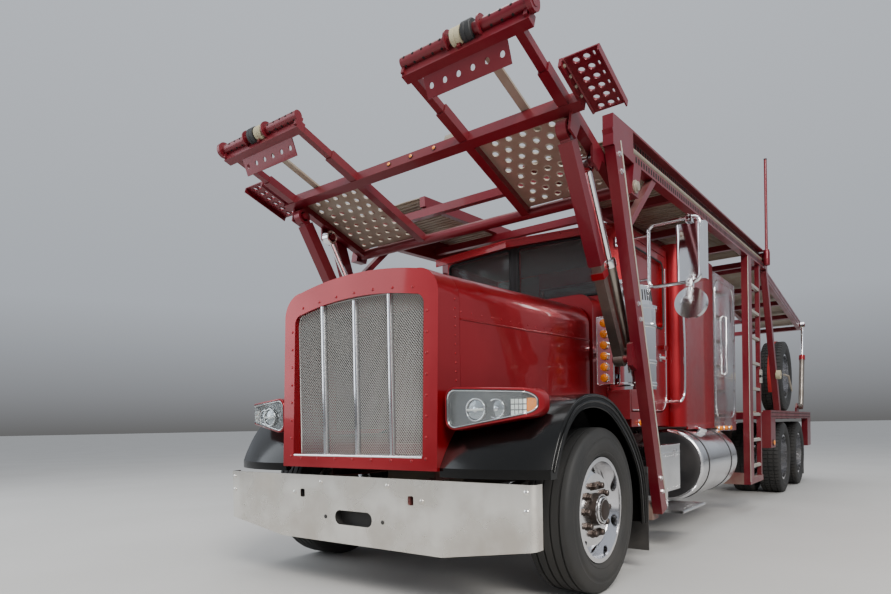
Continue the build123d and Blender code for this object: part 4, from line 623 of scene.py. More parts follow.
def smooth_line(points, steps=6):
    """Points along a smooth curve through the given ones."""
    result = []
    for n in range(len(points) - 1):
        before = Vector(points[max(n - 1, 0)])
        start = Vector(points[n])
        end = Vector(points[n + 1])
        after = Vector(points[min(n + 2, len(points) - 1)])
        for k in range(steps):
            t = k / steps
            bend = 2 * before - 5 * start + 4 * end - after
            twist = 3 * start - before - 3 * end + after
            result.append(0.5 * (2 * start + (end - before) * t + bend * t * t + twist * t ** 3))
    result.append(Vector(points[-1]))
    return result


def arch_line(inset):
    """The fender's outer edge, drawn in by inset, as y and z."""
    line = smooth_line([(y + NOSE_SETBACK * max(0.0, (NOSE_START - y) / NOSE_LENGTH), z)
                        for y, z in FENDER_LINE])
    moved = []
    for n, point in enumerate(line):
        along = line[min(n + 1, len(line) - 1)] - line[max(n - 1, 0)]
        inward = Vector((along[1], -along[0])).normalized()
        moved.append(point + inward * inset)
    return moved


face_beads = [[at(s * FENDER_FACE, *p) for p in arch_line(inset)] for s in (-1, 1) for inset in (9, 40)]
rods("fender_beads", face_beads, 0.0075, black_paint, "hood_body")
inner_beads = [[at(s * (FENDER_FACE - 10), *p) for p in arch_line(70)] for s in (-1, 1)]
rods("fender_edge_beads", inner_beads, 0.006, black_paint, "hood_body", sides=8)

# Headlamps
# Each pod is a red moulding with a chrome bezel over a black gasket. Inside
# are two round lamps, white running lamps and an amber lamp, behind a cover.

reflector = finish("lamp reflector", (0.16, 0.165, 0.17), 0.3, metal=0.8, worn=(0.1, 0.1, 0.1),
                   wear=0.3, dust=0.0, bump=0.05, grain=40.0)
lamp_glass = finish("lamp glass", (0.5, 0.53, 0.56), 0.08, metal=0.9, coat=1.0,
                    worn=(0.2, 0.22, 0.24), wear=0.6, dust=0.0, scale=12.0, bump=0.5, grain=45.0,
                    brush=(3.0, 1.0, 1.0))
led_white = finish("running lamp", (0.95, 0.95, 0.92), 0.2, coat=1.0, worn=(0.8, 0.8, 0.8),
                   wear=0.2, dust=0.0)
amber = finish("amber lens", (0.95, 0.27, 0.0), 0.18, coat=0.5, worn=(0.8, 0.17, 0.0),
               wear=0.3, dust=0.1, bump=0.1, grain=60.0)
glass = bpy.data.materials.new("clear glass")
glass.use_nodes = True


def make_glass(tree):
    """Clear glass with a faint film of dust."""
    bsdf = tree.nodes["Principled BSDF"]
    bsdf.inputs["Base Color"].default_value = (0.94, 0.97, 0.97, 1.0)
    bsdf.inputs["Transmission Weight"].default_value = 0.95
    bsdf.inputs["IOR"].default_value = 1.16
    mask = tree.nodes.new("ShaderNodeGroup")
    mask.node_tree = weather
    mask.inputs["Scale"].default_value = 3.0
    tree.links.new(scaled(tree, mask.outputs["Patches"], 0.06, 0.01), bsdf.inputs["Roughness"])
    relief = tree.nodes.new("ShaderNodeBump")
    relief.inputs["Strength"].default_value = 0.015
    tree.links.new(mask.outputs["Speckle"], relief.inputs["Height"])
    tree.links.new(relief.outputs["Normal"], bsdf.inputs["Normal"])


make_glass(glass.node_tree)
POD_FRONT = [(650, 1175), (1128, 1150), (1128, 1012), (650, 935)]
POD_PLAN = [(600, -800), (880, -800), (1080, -720), (1128, -600)]
POD_BACK = [(600, -612), (1128, -544)]
BOWL_PLAN = [(600, -762), (866, -762), (1047, -690), (1094, -563)]
POD_MIDDLE = (889, 1068)
POD_CORNER = 62
SHEET_COLUMNS = 24


def along_plan(plan, x):
    """Depth of a plan line at x."""
    for (x0, y0), (x1, y1) in zip(plan, plan[1:]):
        if x <= x1:
            return y0 + (y1 - y0) * (x - x0) / (x1 - x0)
    return plan[-1][1]


def pod_outline(inset):
    """The pod's rounded front view, drawn in by inset."""
    drawn = [(x + math.copysign(inset, POD_MIDDLE[0] - x), z + math.copysign(inset, POD_MIDDLE[1] - z))
             for x, z in POD_FRONT]
    return rounded(drawn, POD_CORNER - inset, 8)


def pod_sheet(name, s, inset, plan, lift, thick, material):
    """A sheet over the pod's front view, following a plan line."""
    outline = pod_outline(inset)
    low_x = min(p[0] for p in outline)
    high_x = max(p[0] for p in outline)
    verts = []
    columns = SHEET_COLUMNS
    for n in range(columns + 1):
        x = low_x + 1 + (high_x - low_x - 2) * n / columns
        heights = []
        for (x0, z0), (x1, z1) in zip(outline, outline[1:] + outline[:1]):
            if min(x0, x1) <= x <= max(x0, x1) and abs(x1 - x0) > 0.01:
                heights.append(z0 + (z1 - z0) * (x - x0) / (x1 - x0))
        y = along_plan(plan, x) + lift
        for k in range(4):
            z = min(heights) + (max(heights) - min(heights)) * k / 3
            verts.append((x, y, z))
    count = len(verts)
    verts += [(x, y + thick, z) for x, y, z in verts]
    faces = []
    for n in range(columns):
        for k in range(3):
            a = n * 4 + k
            faces.append((a, a + 1, a + 5, a + 4))
            faces.append((a + count, a + count + 4, a + count + 5, a + count + 1))
    rim = [n * 4 for n in range(columns + 1)] + [columns * 4 + k for k in (1, 2, 3)]
    rim += [n * 4 + 3 for n in range(columns - 1, -1, -1)] + [2, 1]
    for a, b in zip(rim, rim[1:] + rim[:1]):
        faces.append((a, b, b + count, a + count))
    return piece(name, [at(s * x, y, z) for x, y, z in verts], faces, material, "hood_body", smooth=True)


def hoop_faces(steps, count, closed=True):
    """Faces of a section of count points, carried round a closed path."""
    faces = []
    for n in range(steps):
        m = (n + 1) % steps
        for k in range(count if closed else count - 1):
            j = (k + 1) % count
            faces.append((n * count + k, n * count + j, m * count + j, m * count + k))
    return faces


def turned(name, profile, centre, axis, material, body, steps=40, closed=False):
    """Turns a profile of (distance, radius) round an axis through centre."""
    axis = Vector(axis).normalized()
    side = axis.orthogonal().normalized()
    up = axis.cross(side)
    verts = []
    for n in range(steps):
        angle = 2 * math.pi * n / steps
        spoke = side * math.cos(angle) + up * math.sin(angle)
        for distance, radius in profile:
            verts.append(centre + axis * distance / 1000 + spoke * radius / 1000)
    count = len(profile)
    faces = hoop_faces(steps, count, closed)
    if not closed:
        faces.append(tuple(n * count for n in range(steps)))
        faces.append(tuple(n * count + count - 1 for n in range(steps)))
    return piece(name, verts, faces, material, body, smooth=True)


def ring(radius, thick, sides=10):
    """The closed section of a round ring, for turning."""
    return [(thick * math.cos(2 * math.pi * n / sides), radius + thick * math.sin(2 * math.pi * n / sides))
            for n in range(sides)]


def pod_ring(name, s, section, material):
    """Sweeps a closed section round the pod; each point is (inset, share, shift)."""
    verts = []
    outlines = [pod_outline(inset) for inset, _, _ in section]
    steps = len(outlines[0])
    for n in range(steps):
        for k, (_, share, shift) in enumerate(section):
            x, z = outlines[k][n]
            front = along_plan(POD_PLAN, x)
            back = along_plan(POD_BACK if share > 1 else BOWL_PLAN, x)
            verts.append(at(s * x, front + (back - front) * min(share, 1) + shift, z))
    return piece(name, verts, hoop_faces(steps, len(section)), material, "hood_body", smooth=True)


block_shape = small_shape("block", [(0.5, -0.5), (0.5, 0.35), (0.42, 0.5)], 4, square=True)
POD_WALL = [(0, 2, 0), (0, 0, 12), (2, 0, 5), (7, 0, 1), (11, 0, 1), (15, 0, 6), (16, 1, 3), (16, 2, 0)]
BOWL_WALL = [(16, 0, 8), (16, 1, 0), (20, 1, 0), (18, 0, 8)]
ROUND_LAMPS = ((831, -777, 1050, 60), (931, -743, 1053, 52))
BLINKER_PLAN = [(1085, -693), (1096, -664), (1106, -634), (1096, -630), (1086, -660), (1075, -688)]
FOOT_PLAN = [(624, -752), (684, -752), (684, -706), (624, -706)]

pod_pieces = []
for side, s in SIDES:
    pod_pieces += [
        pod_ring(f"headlamp_pod_{side}", s, POD_WALL, red_paint),
        pod_ring(f"headlamp_bowl_{side}", s, BOWL_WALL, reflector),
        pod_sheet(f"headlamp_reflector_{side}", s, 18, BOWL_PLAN, 0, 1.5, reflector),
        pod_sheet(f"headlamp_cover_{side}", s, 16, POD_PLAN, 5, 2.0, glass),
    ]
    for label, inset, lift, thick, material in (
            ("bezel", 19, 7, 4, chrome), ("gasket", 15, 4, 2.2, rubber_and_shade)):
        edge = [at(s * x, along_plan(POD_PLAN, x) + lift, z) for x, z in pod_outline(inset)]
        pod_pieces.append(rods(f"headlamp_{label}_{side}", [edge], thick / 1000, material, "hood_body",
                               closed=True))
    for n, (x, y, z, radius) in enumerate(ROUND_LAMPS, 1):
        barrel = [(-26, radius - 4), (0, radius - 1), (0, radius - 6), (-24, radius - 12)]
        lens = [(-14, radius - 7), (-6, radius * 0.8), (-2, radius * 0.4), (-1, 5)]
        bulb = [(-8, 15), (3, 14), (5, 9), (5.5, 2)]
        for label, profile, material, steps, closed in (
                ("barrel", barrel, reflector, 40, True), ("ring", ring(radius - 4, 4), chrome, 40, True),
                ("lens", lens, lamp_glass, 40, False), ("bulb", bulb, chrome, 20, False)):
            pod_pieces.append(turned(f"headlamp_{label}_{n}_{side}", profile, at(s * x, y, z), FORWARD,
                                     material, "hood_body", steps, closed))
    light_bar = [at(s * x, -781, 1050) for x in (782, 880)]
    pod_pieces.append(rods(f"headlamp_bar_{side}", [light_bar], 0.006, led_white, "hood_body"))
    cells = []
    for n in range(4):
        share = (n + 0.5) / 4
        for z in (1030, 1058, 1086):
            cells.append((at(s * (1011 + 74 * share), -731 + 30 * share, z), (s * 0.365, -0.931, 0)))
    pod_pieces.append(repeated(f"running_lamps_{side}", block_shape, cells, 0.016, 0.023, 0.014, led_white,
                               "hood_body"))
    loops = []
    for z, bulge in ((1022, 0), (1040, 5), (1062, 5), (1084, 5), (1102, 0)):
        loops.append([at(s * x, y - (bulge if n < 3 else 0), z) for n, (x, y) in enumerate(BLINKER_PLAN)])
    pod_pieces.append(lofted(f"turn_lamp_{side}", loops, amber, "hood_body", smooth=True))
    foot = [[at(s * x, y, z) for x, y in FOOT_PLAN] for z in (965, 1135)]
    pod_pieces.append(lofted(f"headlamp_foot_{side}", foot, red_paint, "hood_body"))
for pod_piece in pod_pieces:
    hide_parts("headlamps")

# Cab
# Welded steel cab in the same red, with black rubber round the two panes of
# the windshield, a dark post between them and bright trim on the doors.

coat_nodes(red_paint, "cab", "door_left", "door_right")
coat_nodes(glass, "windshield")


def screen_y(x):
    """Depth of the windshield's plane at x."""
    return 1030 + 0.14 * abs(x)


CAB_SIDE = 881
SCREEN_LOW = 1955
SCREEN_HIGH = 2412
for side, s in SIDES:
    body = f"door_{side}_body"
    pane = rounded_box((34, 1961), (724, 2409), 40)
    rods(f"windshield_gasket_{side}", [[at(s * x, screen_y(x) - 2, z) for x, z in pane]], 0.011, rubber_and_shade,
         "chassis", closed=True)
    window = rounded_box((1334, 1769), (2036, 2336), 60)
    rods(f"door_window_gasket_{side}", [[at(s * CAB_SIDE, y, z) for y, z in window]], 0.008, rubber_and_shade,
         body, closed=True)
    trim = [(2090, 2300), (2090, 1215)]
    for turn in range(-10, -81, -10):
        angle = math.radians(turn)
        trim.append((1948 + 142 * math.cos(angle), 1212 + 142 * math.sin(angle)))
    trim += [(1948, 1070), (1272, 1070)]
    rods(f"door_trim_{side}", [[at(s * CAB_SIDE, y, z) for y, z in trim]], 0.006, chrome, body)
    handle = [at(s * x, y, 1520) for x, y in ((883, 1925), (906, 1940), (906, 2045), (883, 2060))]
    rods(f"door_handle_{side}", [handle], 0.009, chrome, body)
    plate = (at(s * (CAB_SIDE + 1), 1992, 1520), (s, 0, 0))
    repeated(f"door_handle_plate_{side}", block_shape, [plate], 0.165, 0.062, 0.008, chrome, body)
post = [(-36, screen_y(36) - 6), (0, screen_y(0) - 10), (36, screen_y(36) - 6), (36, screen_y(36) + 6),
        (0, screen_y(0) + 4), (-36, screen_y(36) + 6)]
lofted("windshield_post", [[at(x, y, z) for x, y in post] for z in (SCREEN_LOW, SCREEN_HIGH)], rubber_and_shade,
       "chassis")

# Sun visor
# A folded red sheet over the windshield that follows its shallow V, pop
# riveted along the fold.

coat_nodes(red_paint, "sun_visor")
visor_rivets = [(at(x, screen_y(x) - 108, 2452), UPWARD) for x in range(-750, 751, 75)]
visor_rivets += [(at(x, screen_y(x) - 122, 2432), (0.14 if x > 0 else -0.14, -1, 0))
                 for x in range(-750, 751, 150)]
repeated("visor_rivets", dome_shape, visor_rivets, 0.006, 0.006, 0.004, red_paint, "chassis")

# Cab interior
# Grained dark plastic dash and steering wheel, a quilted dark lining on the
# roof, floor and back wall, and two high backed seats in brown cloth.

dash_plastic = finish("dash plastic", (0.05, 0.045, 0.042), 0.55, worn=(0.1, 0.09, 0.08),
                      wear=0.3, dust=0.0, bump=0.2, grain=400)
coat_nodes(dash_plastic, "dashboard", "steering_wheel")
seat_cloth = finish("seat cloth", (0.10, 0.075, 0.06), 0.9, worn=(0.17, 0.14, 0.12),
                    wear=0.4, dust=0.0, bump=0.5, grain=500, brush=(1.0, 1.0, 2.0))
coat_nodes(seat_cloth, "seats")
PILLOW = 60


def lining(name, low, high, axis):
    """A thin quilted panel: a grid of shallow pillows between two corners."""
    low = Vector(low)
    high = Vector(high)
    one, two = [k for k in range(3) if k != axis]
    rows = max(4, int((high[one] - low[one]) / PILLOW))
    columns = max(4, int((high[two] - low[two]) / PILLOW))
    verts = []
    for i in range(rows + 1):
        for j in range(columns + 1):
            p = Vector(low)
            p[one] = low[one] + (high[one] - low[one]) * i / rows
            p[two] = low[two] + (high[two] - low[two]) * j / columns
            p[axis] = high[axis] if (i % 2 and j % 2) else (low[axis] + high[axis]) / 2
            verts.append(at(*p))
    base = len(verts)
    wide = columns + 1
    for k in (0, columns, wide * (rows + 1) - 1, wide * rows):
        p = Vector(verts[k])
        p[axis] = at(*low)[axis]
        verts.append(p)
    faces = []
    for i in range(rows):
        for j in range(columns):
            k = i * wide + j
            faces.append((k, k + 1, k + wide + 1, k + wide))
    faces.append(tuple(range(wide)) + (base + 1, base))
    faces.append(tuple(wide * i + columns for i in range(rows + 1)) + (base + 2, base + 1))
    faces.append(tuple(wide * rows + j for j in range(columns, -1, -1)) + (base + 3, base + 2))
    faces.append(tuple(wide * i for i in range(rows, -1, -1)) + (base, base + 3))
    faces.append((base, base + 1, base + 2, base + 3))
    return piece(name, verts, faces, seat_cloth, "chassis", smooth=True)


lining("roof_lining", (-800, 1290, 2457), (800, 2095, 2446), 2)
lining("floor_mat", (-800, 1290, 1043), (800, 2095, 1052), 2)
for side, s in SIDES:
    low_x, high_x = sorted((s * 355, s * 820))
    lining(f"back_lining_{side}", (low_x, 2107, 1060), (high_x, 2098, 2440), 1)

SEAT_X = 430
PAD_VOXEL = 0.011
PAD_PRESSURE = 4.0
PAD_FRAMES = 20
MOST_PUFF = 0.022


def pad_shape(name, low, high):
    """A rounded block remeshed evenly, ready to be stuffed."""
    shell = bmesh.new()
    bmesh.ops.create_cube(shell, size=1.0)
    low = at(*low)
    high = at(*high)
    for vert in shell.verts:
        vert.co = Vector([low[k] + (high[k] - low[k]) * (vert.co[k] + 0.5) for k in range(3)])
    bmesh.ops.bevel(shell, geom=shell.edges[:], offset=0.035, segments=4, affect="EDGES", profile=0.5)
    data = bpy.data.meshes.new(name)
    shell.to_mesh(data)
    shell.free()
    obj = bpy.data.objects.new(name, data)
    scene.collection.objects.link(obj)
    even = obj.modifiers.new("even", "REMESH")
    even.mode = "VOXEL"
    even.voxel_size = PAD_VOXEL
    made = bpy.data.meshes.new_from_object(obj.evaluated_get(bpy.context.evaluated_depsgraph_get()))
    obj.modifiers.remove(even)
    obj.data = made
    made.materials.append(seat_cloth)
    made.shade_smooth()
    return obj


seat_pads = []
for side, s in SIDES:
    x = s * SEAT_X
    seat_pads.append(pad_shape(f"seat_cushion_{side}", (x - 240, 1510, 1345), (x + 240, 1935, 1452)))
    seat_pads.append(pad_shape(f"seat_back_{side}", (x - 230, 1950, 1475), (x + 230, 2036, 1870)))
    seat_pads.append(pad_shape(f"seat_headrest_{side}", (x - 150, 1955, 1890), (x + 150, 2030, 2050)))

flat = {pad.name: [v.co.copy() for v in pad.data.vertices] for pad in seat_pads}
for pad in seat_pads:
    cloth = pad.modifiers.new("stuffing", "CLOTH")
    cloth.settings.use_pressure = True
    cloth.settings.uniform_pressure_force = PAD_PRESSURE
    cloth.settings.effector_weights.gravity = 0.0
for tick in range(1, PAD_FRAMES + 1):
    scene.frame_set(tick)
graph = bpy.context.evaluated_depsgraph_get()
for pad in seat_pads:
    puffed = [v.co.copy() for v in pad.evaluated_get(graph).data.vertices]
    pad.modifiers.clear()
    for vert, before, after in zip(pad.data.vertices, flat[pad.name], puffed):
        move = after - before
        if move.length > MOST_PUFF:
            move = move.normalized() * MOST_PUFF
        vert.co = before + move
scene.frame_set(1)

for pad in seat_pads:
    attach(pad, "chassis")
    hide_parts("seats")
    low = Vector([min(v.co[k] for v in pad.data.vertices) for k in range(3)])
    high = Vector([max(v.co[k] for v in pad.data.vertices) for k in range(3)])
    middle = (low + high) / 2
    half = (high - low) / 2
    seams = []
    for drop in (0.55, -0.55):
        seam = []
        for n in range(48):
            angle = 2 * math.pi * n / 48
            wide = half.x * 1.4 * math.cos(angle)
            if "cushion" in pad.name:
                aim = middle + Vector((wide, half.y * 1.4 * math.sin(angle), half.z * drop))
            else:
                aim = middle + Vector((wide, half.y * drop, half.z * 1.4 * math.sin(angle)))
            seam.append(pad.closest_point_on_mesh(aim)[1])
        seams.append(seam)
    piping = rods(pad.name + "_piping", seams, 0.0035, seat_cloth, "chassis", sides=6, closed=True)
    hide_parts("seats")
for side, s in SIDES:
    x = s * SEAT_X
    loops = []
    for z, grow in ((1052, 0), (1080, 20), (1300, 20), (1335, 60)):
        wide = 150 + grow
        corners = ((-wide, 1560), (wide, 1560), (wide, 1900), (-wide, 1900))
        loops.append([at(x + dx, y, z) for dx, y in corners])
    base = lofted(f"seat_base_{side}", loops, dash_plastic, "chassis", smooth=True)
    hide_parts("seats")
    stays = [[at(x + dx, 1994, 1850), at(x + dx, 1994, 1920)] for dx in (-60, 60)]
    stays = rods(f"headrest_stays_{side}", stays, 0.006, chrome, "chassis")
    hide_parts("seats")

# Sleeper
# A red box behind the cab, panels riveted at the edges, with a bent chrome
# grab handle on each front corner.

coat_nodes(red_paint, "sleeper")
SLEEPER_SIDE = 1000
sleeper_rivets = []
handles = []
for s in (-1, 1):
    edge = [(y, z) for y in (2300, 3186) for z in range(970, 2500, 60)]
    edge += [(y, z) for z in (2510, 952) for y in range(2360, 3140, 60)]
    sleeper_rivets += [(at(s * SLEEPER_SIDE, y, z), (s, 0, 0)) for y, z in edge]
    bar = [(960, 2196, 1975), (1000, 2180, 1950), (1012, 2178, 1700), (1012, 2176, 1300), (1005, 2160, 1190),
           (985, 2090, 1140), (925, 1960, 1104)]
    bar = smooth_line([at(s * x, y, z) for x, y, z in bar], 5)[:-6]
    handles.append(bar + [at(s * 955, 2125, 1150), at(s * 880, 2125, 1150)])
repeated("sleeper_rivets", dome_shape, sleeper_rivets, 0.006, 0.006, 0.0035, red_paint, "chassis")
rods("grab_handles", handles, 0.013, chrome, "chassis", sides=12)

# Steel cabinet
# Polished stainless cabinet behind the sleeper, with an arched door on each
# side, a lift bar, a pressed seam and rows of small rivets.

stainless = finish("stainless", (0.78, 0.78, 0.79), 0.1, metal=1.0, worn=(0.62, 0.61, 0.6),
                   wear=0.3, dust=0.15, scale=3.0, bump=0.02, grain=30.0, brush=(3.0, 3.0, 0.4))
coat_nodes(stainless, "steel_cabinet")
CABINET_SIDE = 1000
cabinet_rivets = []
for side, s in SIDES:
    x = s * CABINET_SIDE
    door = [at(x, y, z) for y, z in rounded_box((3290, 1010), (4070, 2420), 130, 8)]
    rods(f"cabinet_door_edge_{side}", [door], 0.007, stainless, "chassis", closed=True)
    seams = [[at(x, 3212, z), at(x, 4142, z)] for z in (965, 1436)]
    rods(f"cabinet_seams_{side}", seams, 0.005, stainless, "chassis")
    lift_bar = [at(x + s * out, 3640, z) for out, z in ((0, 2080), (26, 2060), (26, 1480), (0, 1460))]
    rods(f"cabinet_lift_bar_{side}", [lift_bar], 0.009, chrome, "chassis")
    cabinet_rivets += [(at(x, y, z), (s, 0, 0)) for y in (3260, 4100) for z in range(980, 2460, 70)]
# A near-black strip on each door stands for its slot: painted shade in the recess.
door_slots = [(at(s * (CABINET_SIDE + 0.5), 3940, 2170), (s, 0, 0)) for s in (-1, 1)]
repeated("cabinet_door_slots", block_shape, door_slots, 0.026, 0.24, 0.003, rubber_and_shade, "chassis")
repeated("cabinet_rivets", dome_shape, cabinet_rivets, 0.006, 0.006, 0.003, stainless, "chassis")

# Air cleaners and lamp plates
# Mirror bright stainless canisters on the cowl with a slotted rain cap and
# two clamp bands. In front stands a bright plate with a column of ambers.

coat_nodes(chrome, "air_cleaners")
for side, s in SIDES:
    base = at(s * 1000, 950, 0)
    for n, z in enumerate((1236, 1390, 1640), 1):
        band = [(z - 14, 167), (z - 14, 171), (z - 10, 173), (z + 10, 173), (z + 14, 171), (z + 14, 167)]
        turned(f"air_cleaner_band_{n}_{side}", band, base, UPWARD, stainless, "chassis", 56, closed=True)
    # Near-black blocks round the cap stand for its slots: painted shade in the openings.
    slots = []
    for n in range(40):
        angle = 2 * math.pi * n / 40
        out = Vector((math.cos(angle), math.sin(angle), 0.11))
        slots.append((base + Vector((0.1415 * out.x, 0.1415 * out.y, 1.852)), out))
    repeated(f"rain_cap_slots_{side}", block_shape, slots, 0.009, 0.075, 0.004, rubber_and_shade, "chassis")
    turned(f"rain_cap_rim_{side}", ring(134, 5), base + Vector((0, 0, 1.916)), UPWARD, chrome, "chassis", 48,
           closed=True)
    plate = [at(s * x, 741, z) for x, z in rounded_box((831, 1241), (949, 1709), 10)]
    rods(f"lamp_plate_edge_{side}", [plate], 0.004, stainless, "chassis", closed=True)
    for n in range(6):
        spot = at(s * 890, 718, 1285 + 76 * n)
        turned(f"plate_lamp_ring_{n + 1}_{side}", ring(27, 3.5, 8), spot + Vector((0, 0.012, 0)), FORWARD,
               chrome, "chassis", 24, closed=True)
        turned(f"plate_lamp_lens_{n + 1}_{side}", [(0, 25), (4, 21), (7, 12), (8, 3)], spot, FORWARD, amber,
               "chassis", 20)

# Mirrors
# Chrome housings clamped in a bent tube loop, with a round mirror below. The
# glass faces back to the driver, in a rubber frame.

coat_nodes(chrome, "mirrors")
mirror_glass = finish("mirror glass", (0.9, 0.91, 0.92), 0.02, metal=1.0, worn=(0.8, 0.8, 0.82),
                      wear=0.1, dust=0.05, bump=0.004)
BACKWARD = (0, 1, 0)
MIRROR_X = 1348.5
for side, s in SIDES:
    outline = rounded_box((1262, 1992), (1436, 2358), 22)
    loops = [[at(s * x, y, z) for x, z in outline] for y in (1284, 1287)]
    lofted(f"mirror_glass_{side}", loops, mirror_glass, "chassis")
    frame_line = [at(s * x, 1286, z) for x, z in outline]
    rods(f"mirror_frame_{side}", [frame_line], 0.005, rubber_and_shade, "chassis", closed=True)
    spot = at(s * MIRROR_X, 1221, 1810)
    turned(f"round_mirror_glass_{side}", [(0, 98), (3, 96), (9, 60), (12, 20), (12.5, 3)], spot, BACKWARD,
           mirror_glass, "chassis")
    turned(f"round_mirror_rim_{side}", ring(101, 5), spot, BACKWARD, rubber_and_shade, "chassis", closed=True)
    clamps = [(at(s * MIRROR_X, 1147, z), FORWARD) for z in (1940, 1970, 2390, 2418)]
    clamps += [(at(s * 849, 1132, z), (s, -0.6, 0)) for z in (2015, 2335)]
    repeated(f"mirror_clamp_bolts_{side}", bolt_shape, clamps, 0.008, 0.008, 0.009, stainless, "chassis")

# Fuel tanks
# Round polished aluminium tanks with darker pressed ends, hung in bright
# straps over rubber liners, with a screwed filler cap on top.

tank_metal = finish("tank aluminium", (0.8, 0.8, 0.82), 0.1, metal=1.0,
                    worn=(0.5, 0.5, 0.5), wear=0.3, dust=0.15, bump=0.03, brush=(0.4, 6.0, 0.4))
dark_metal = finish("dull aluminium", (0.05, 0.05, 0.054), 0.4, metal=0.8,
                    worn=(0.1, 0.1, 0.1), wear=0.5, dust=0.12)
coat_nodes(tank_metal, "fuel_and_air_tanks")
TANK_X = 880
TANK_Z = 600
TANK_END = [(-2, 284), (2, 282), (6, 262), (3, 236), (5, 120), (6, 4)]
FILLER_CAP = [(-8, 58), (6, 58), (8, 52), (14, 52), (16, 60), (34, 60), (40, 54), (42, 4)]
for side, s in SIDES:
    for label, y, out in (("front", 2060, -1), ("rear", 3300, 1)):
        turned(f"tank_end_{label}_{side}", TANK_END, at(s * TANK_X, y, TANK_Z), (0, out, 0), dark_metal,
               "chassis", 56)
    for n, y in enumerate((2280, 3080), 1):
        for k, edge in enumerate((-40, 40), 1):
            strip = [(edge - 5, 310), (edge - 5, 315), (edge + 5, 315), (edge + 5, 310)]
            turned(f"tank_strap_liner_{n}_{k}_{side}", strip, at(s * TANK_X, y, TANK_Z), BACKWARD,
                   rubber_and_shade, "chassis", 56, closed=True)
    turned(f"filler_cap_{side}", FILLER_CAP, at(s * 1015, 2600, TANK_Z + 282), (s * 0.42, 0, 0.9), chrome,
           "chassis", 30)

# Battery boxes and steps
# Stainless boxes under the doors with a capped lid and latches, over a step
# of ribbed aluminium tread.

coat_nodes(stainless, "battery_boxes")
step_ribs = [(at(s * 1077, y, 305), UPWARD) for s in (-1, 1) for y in range(1393, 1966, 26)]
repeated("step_ribs", block_shape, step_ribs, 0.262, 0.011, 0.009, tank_metal, "chassis")
BOX_SIDE = 1120
for side, s in SIDES:
    lid_lines = [[at(s * (BOX_SIDE - 1), y, z) for y in (1016, 1634)] for z in (742, 796)]
    rods(f"box_lid_edge_{side}", lid_lines, 0.006, stainless, "chassis")
    latches = [(at(s * (BOX_SIDE + 1), y, 735), (s, 0, 0)) for y in (1130, 1520)]
    repeated(f"box_latches_{side}", block_shape, latches, 0.03, 0.07, 0.016, chrome, "chassis")
    box_rivets = [(at(s * BOX_SIDE, y, z), (s, 0, 0)) for z in (470, 715) for y in range(1030, 1640, 50)]
    repeated(f"box_rivets_{side}", dome_shape, box_rivets, 0.005, 0.005, 0.003, stainless, "chassis")
    nosing = [at(s * 1213, y, 295) for y in (1384, 1976)]
    rods(f"step_nosing_{side}", [nosing], 0.009, tank_metal, "chassis")

# Mud flaps
# Plain sheets of black rubber behind the wheels, each hung from its bar by a
# row of bright hexagon bolts.

coat_nodes(rubber_and_shade, "mudflaps")
flap_bolts = [(at(s * x, 667, 660), FORWARD) for s in (-1, 1) for x in (920, 1000, 1080, 1160)]
flap_bolts += [(at(s * x, 8301, 680), BACKWARD) for s in (-1, 1) for x in (660, 780, 900, 1020, 1100)]
repeated("mudflap_bolts", bolt_shape, flap_bolts, 0.009, 0.009, 0.008, stainless, "chassis")

# Wheels
# Forged aluminium discs polished like a mirror on the steered axle, with big
# rusty nuts round a dark hub and a bright ring on the hub's cap.

wheel_metal = finish("wheel aluminium", (0.8, 0.8, 0.82), 0.1, metal=1.0,
                     worn=(0.55, 0.54, 0.52), wear=0.35, dust=0.12, bump=0.02)
coat_nodes(wheel_metal, "spare_rim", "front_wheel_left", "front_wheel_right",
           *[f"rear_wheels_{n}_{side}" for n in (1, 2) for side in ("left", "right")])
nut_rust = finish("rusty nut", (0.05, 0.04, 0.036), 0.33, metal=0.85, worn=(0.075, 0.046, 0.036),
                  wear=0.5, dust=0.08, bump=0.3)
hub_dark = finish("hub iron", (0.022, 0.02, 0.02), 0.35, metal=0.7, worn=(0.07, 0.045, 0.035),
                  wear=0.5, dust=0.05)
NUT_COUNT = 10
NUT_CIRCLE = 0.142


def hub_set(name, centre, s, face, hub_end, body):
    """Ten nuts, a dark hub with its cap, and a bright ring round the cap."""
    out = (s, 0, 0)
    nuts = []
    for n in range(NUT_COUNT):
        angle = 2 * math.pi * n / NUT_COUNT
        spot = Vector((s * (face + 1) / 1000, NUT_CIRCLE * math.cos(angle), NUT_CIRCLE * math.sin(angle)))
        nuts.append((centre + spot, out))
    repeated(f"{name}_nuts", bolt_shape, nuts, 0.0205, 0.0205, 0.031, nut_rust, body)
    end = centre + Vector((s * hub_end / 1000, 0, 0))
    barrel = [(face - hub_end - 1, 96), (face - hub_end + 10, 93), (-6, 89.5), (1, 82), (1, 60)]
    turned(f"{name}_hub", barrel, end, out, hub_dark, body, 36)
    turned(f"{name}_cap", [(0, 62), (14, 62.5), (19, 56), (22, 30), (23, 4)], end, out, hub_dark, body, 30)
    turned(f"{name}_cap_ring", ring(70, 7, 8), end + Vector((s * 0.003, 0, 0)), out, chrome, body, 36,
           closed=True)


def middle_of(node):
    """Middle of a CAD node's box."""
    low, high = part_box(node)
    return (low + high) / 2


for side, s in SIDES:
    hub_set(f"front_{side}", middle_of(f"front_tyre_{side}"), s, 75, 118, f"front_wheel_{side}_body")
    for axle in (1, 2):
        hub = middle_of(f"rear_tyres_{axle}_{side}") + Vector((s * 0.17, 0, 0))
        hub_set(f"rear_{axle}_{side}", hub, s, -138, -30, f"rear_wheels_{axle}_{side}_body")

# Tyres
# Road tyres with moulded rings on dusty walls. The steered ones have straight
# ribs, the driven ones and the spare have blocks cut across.

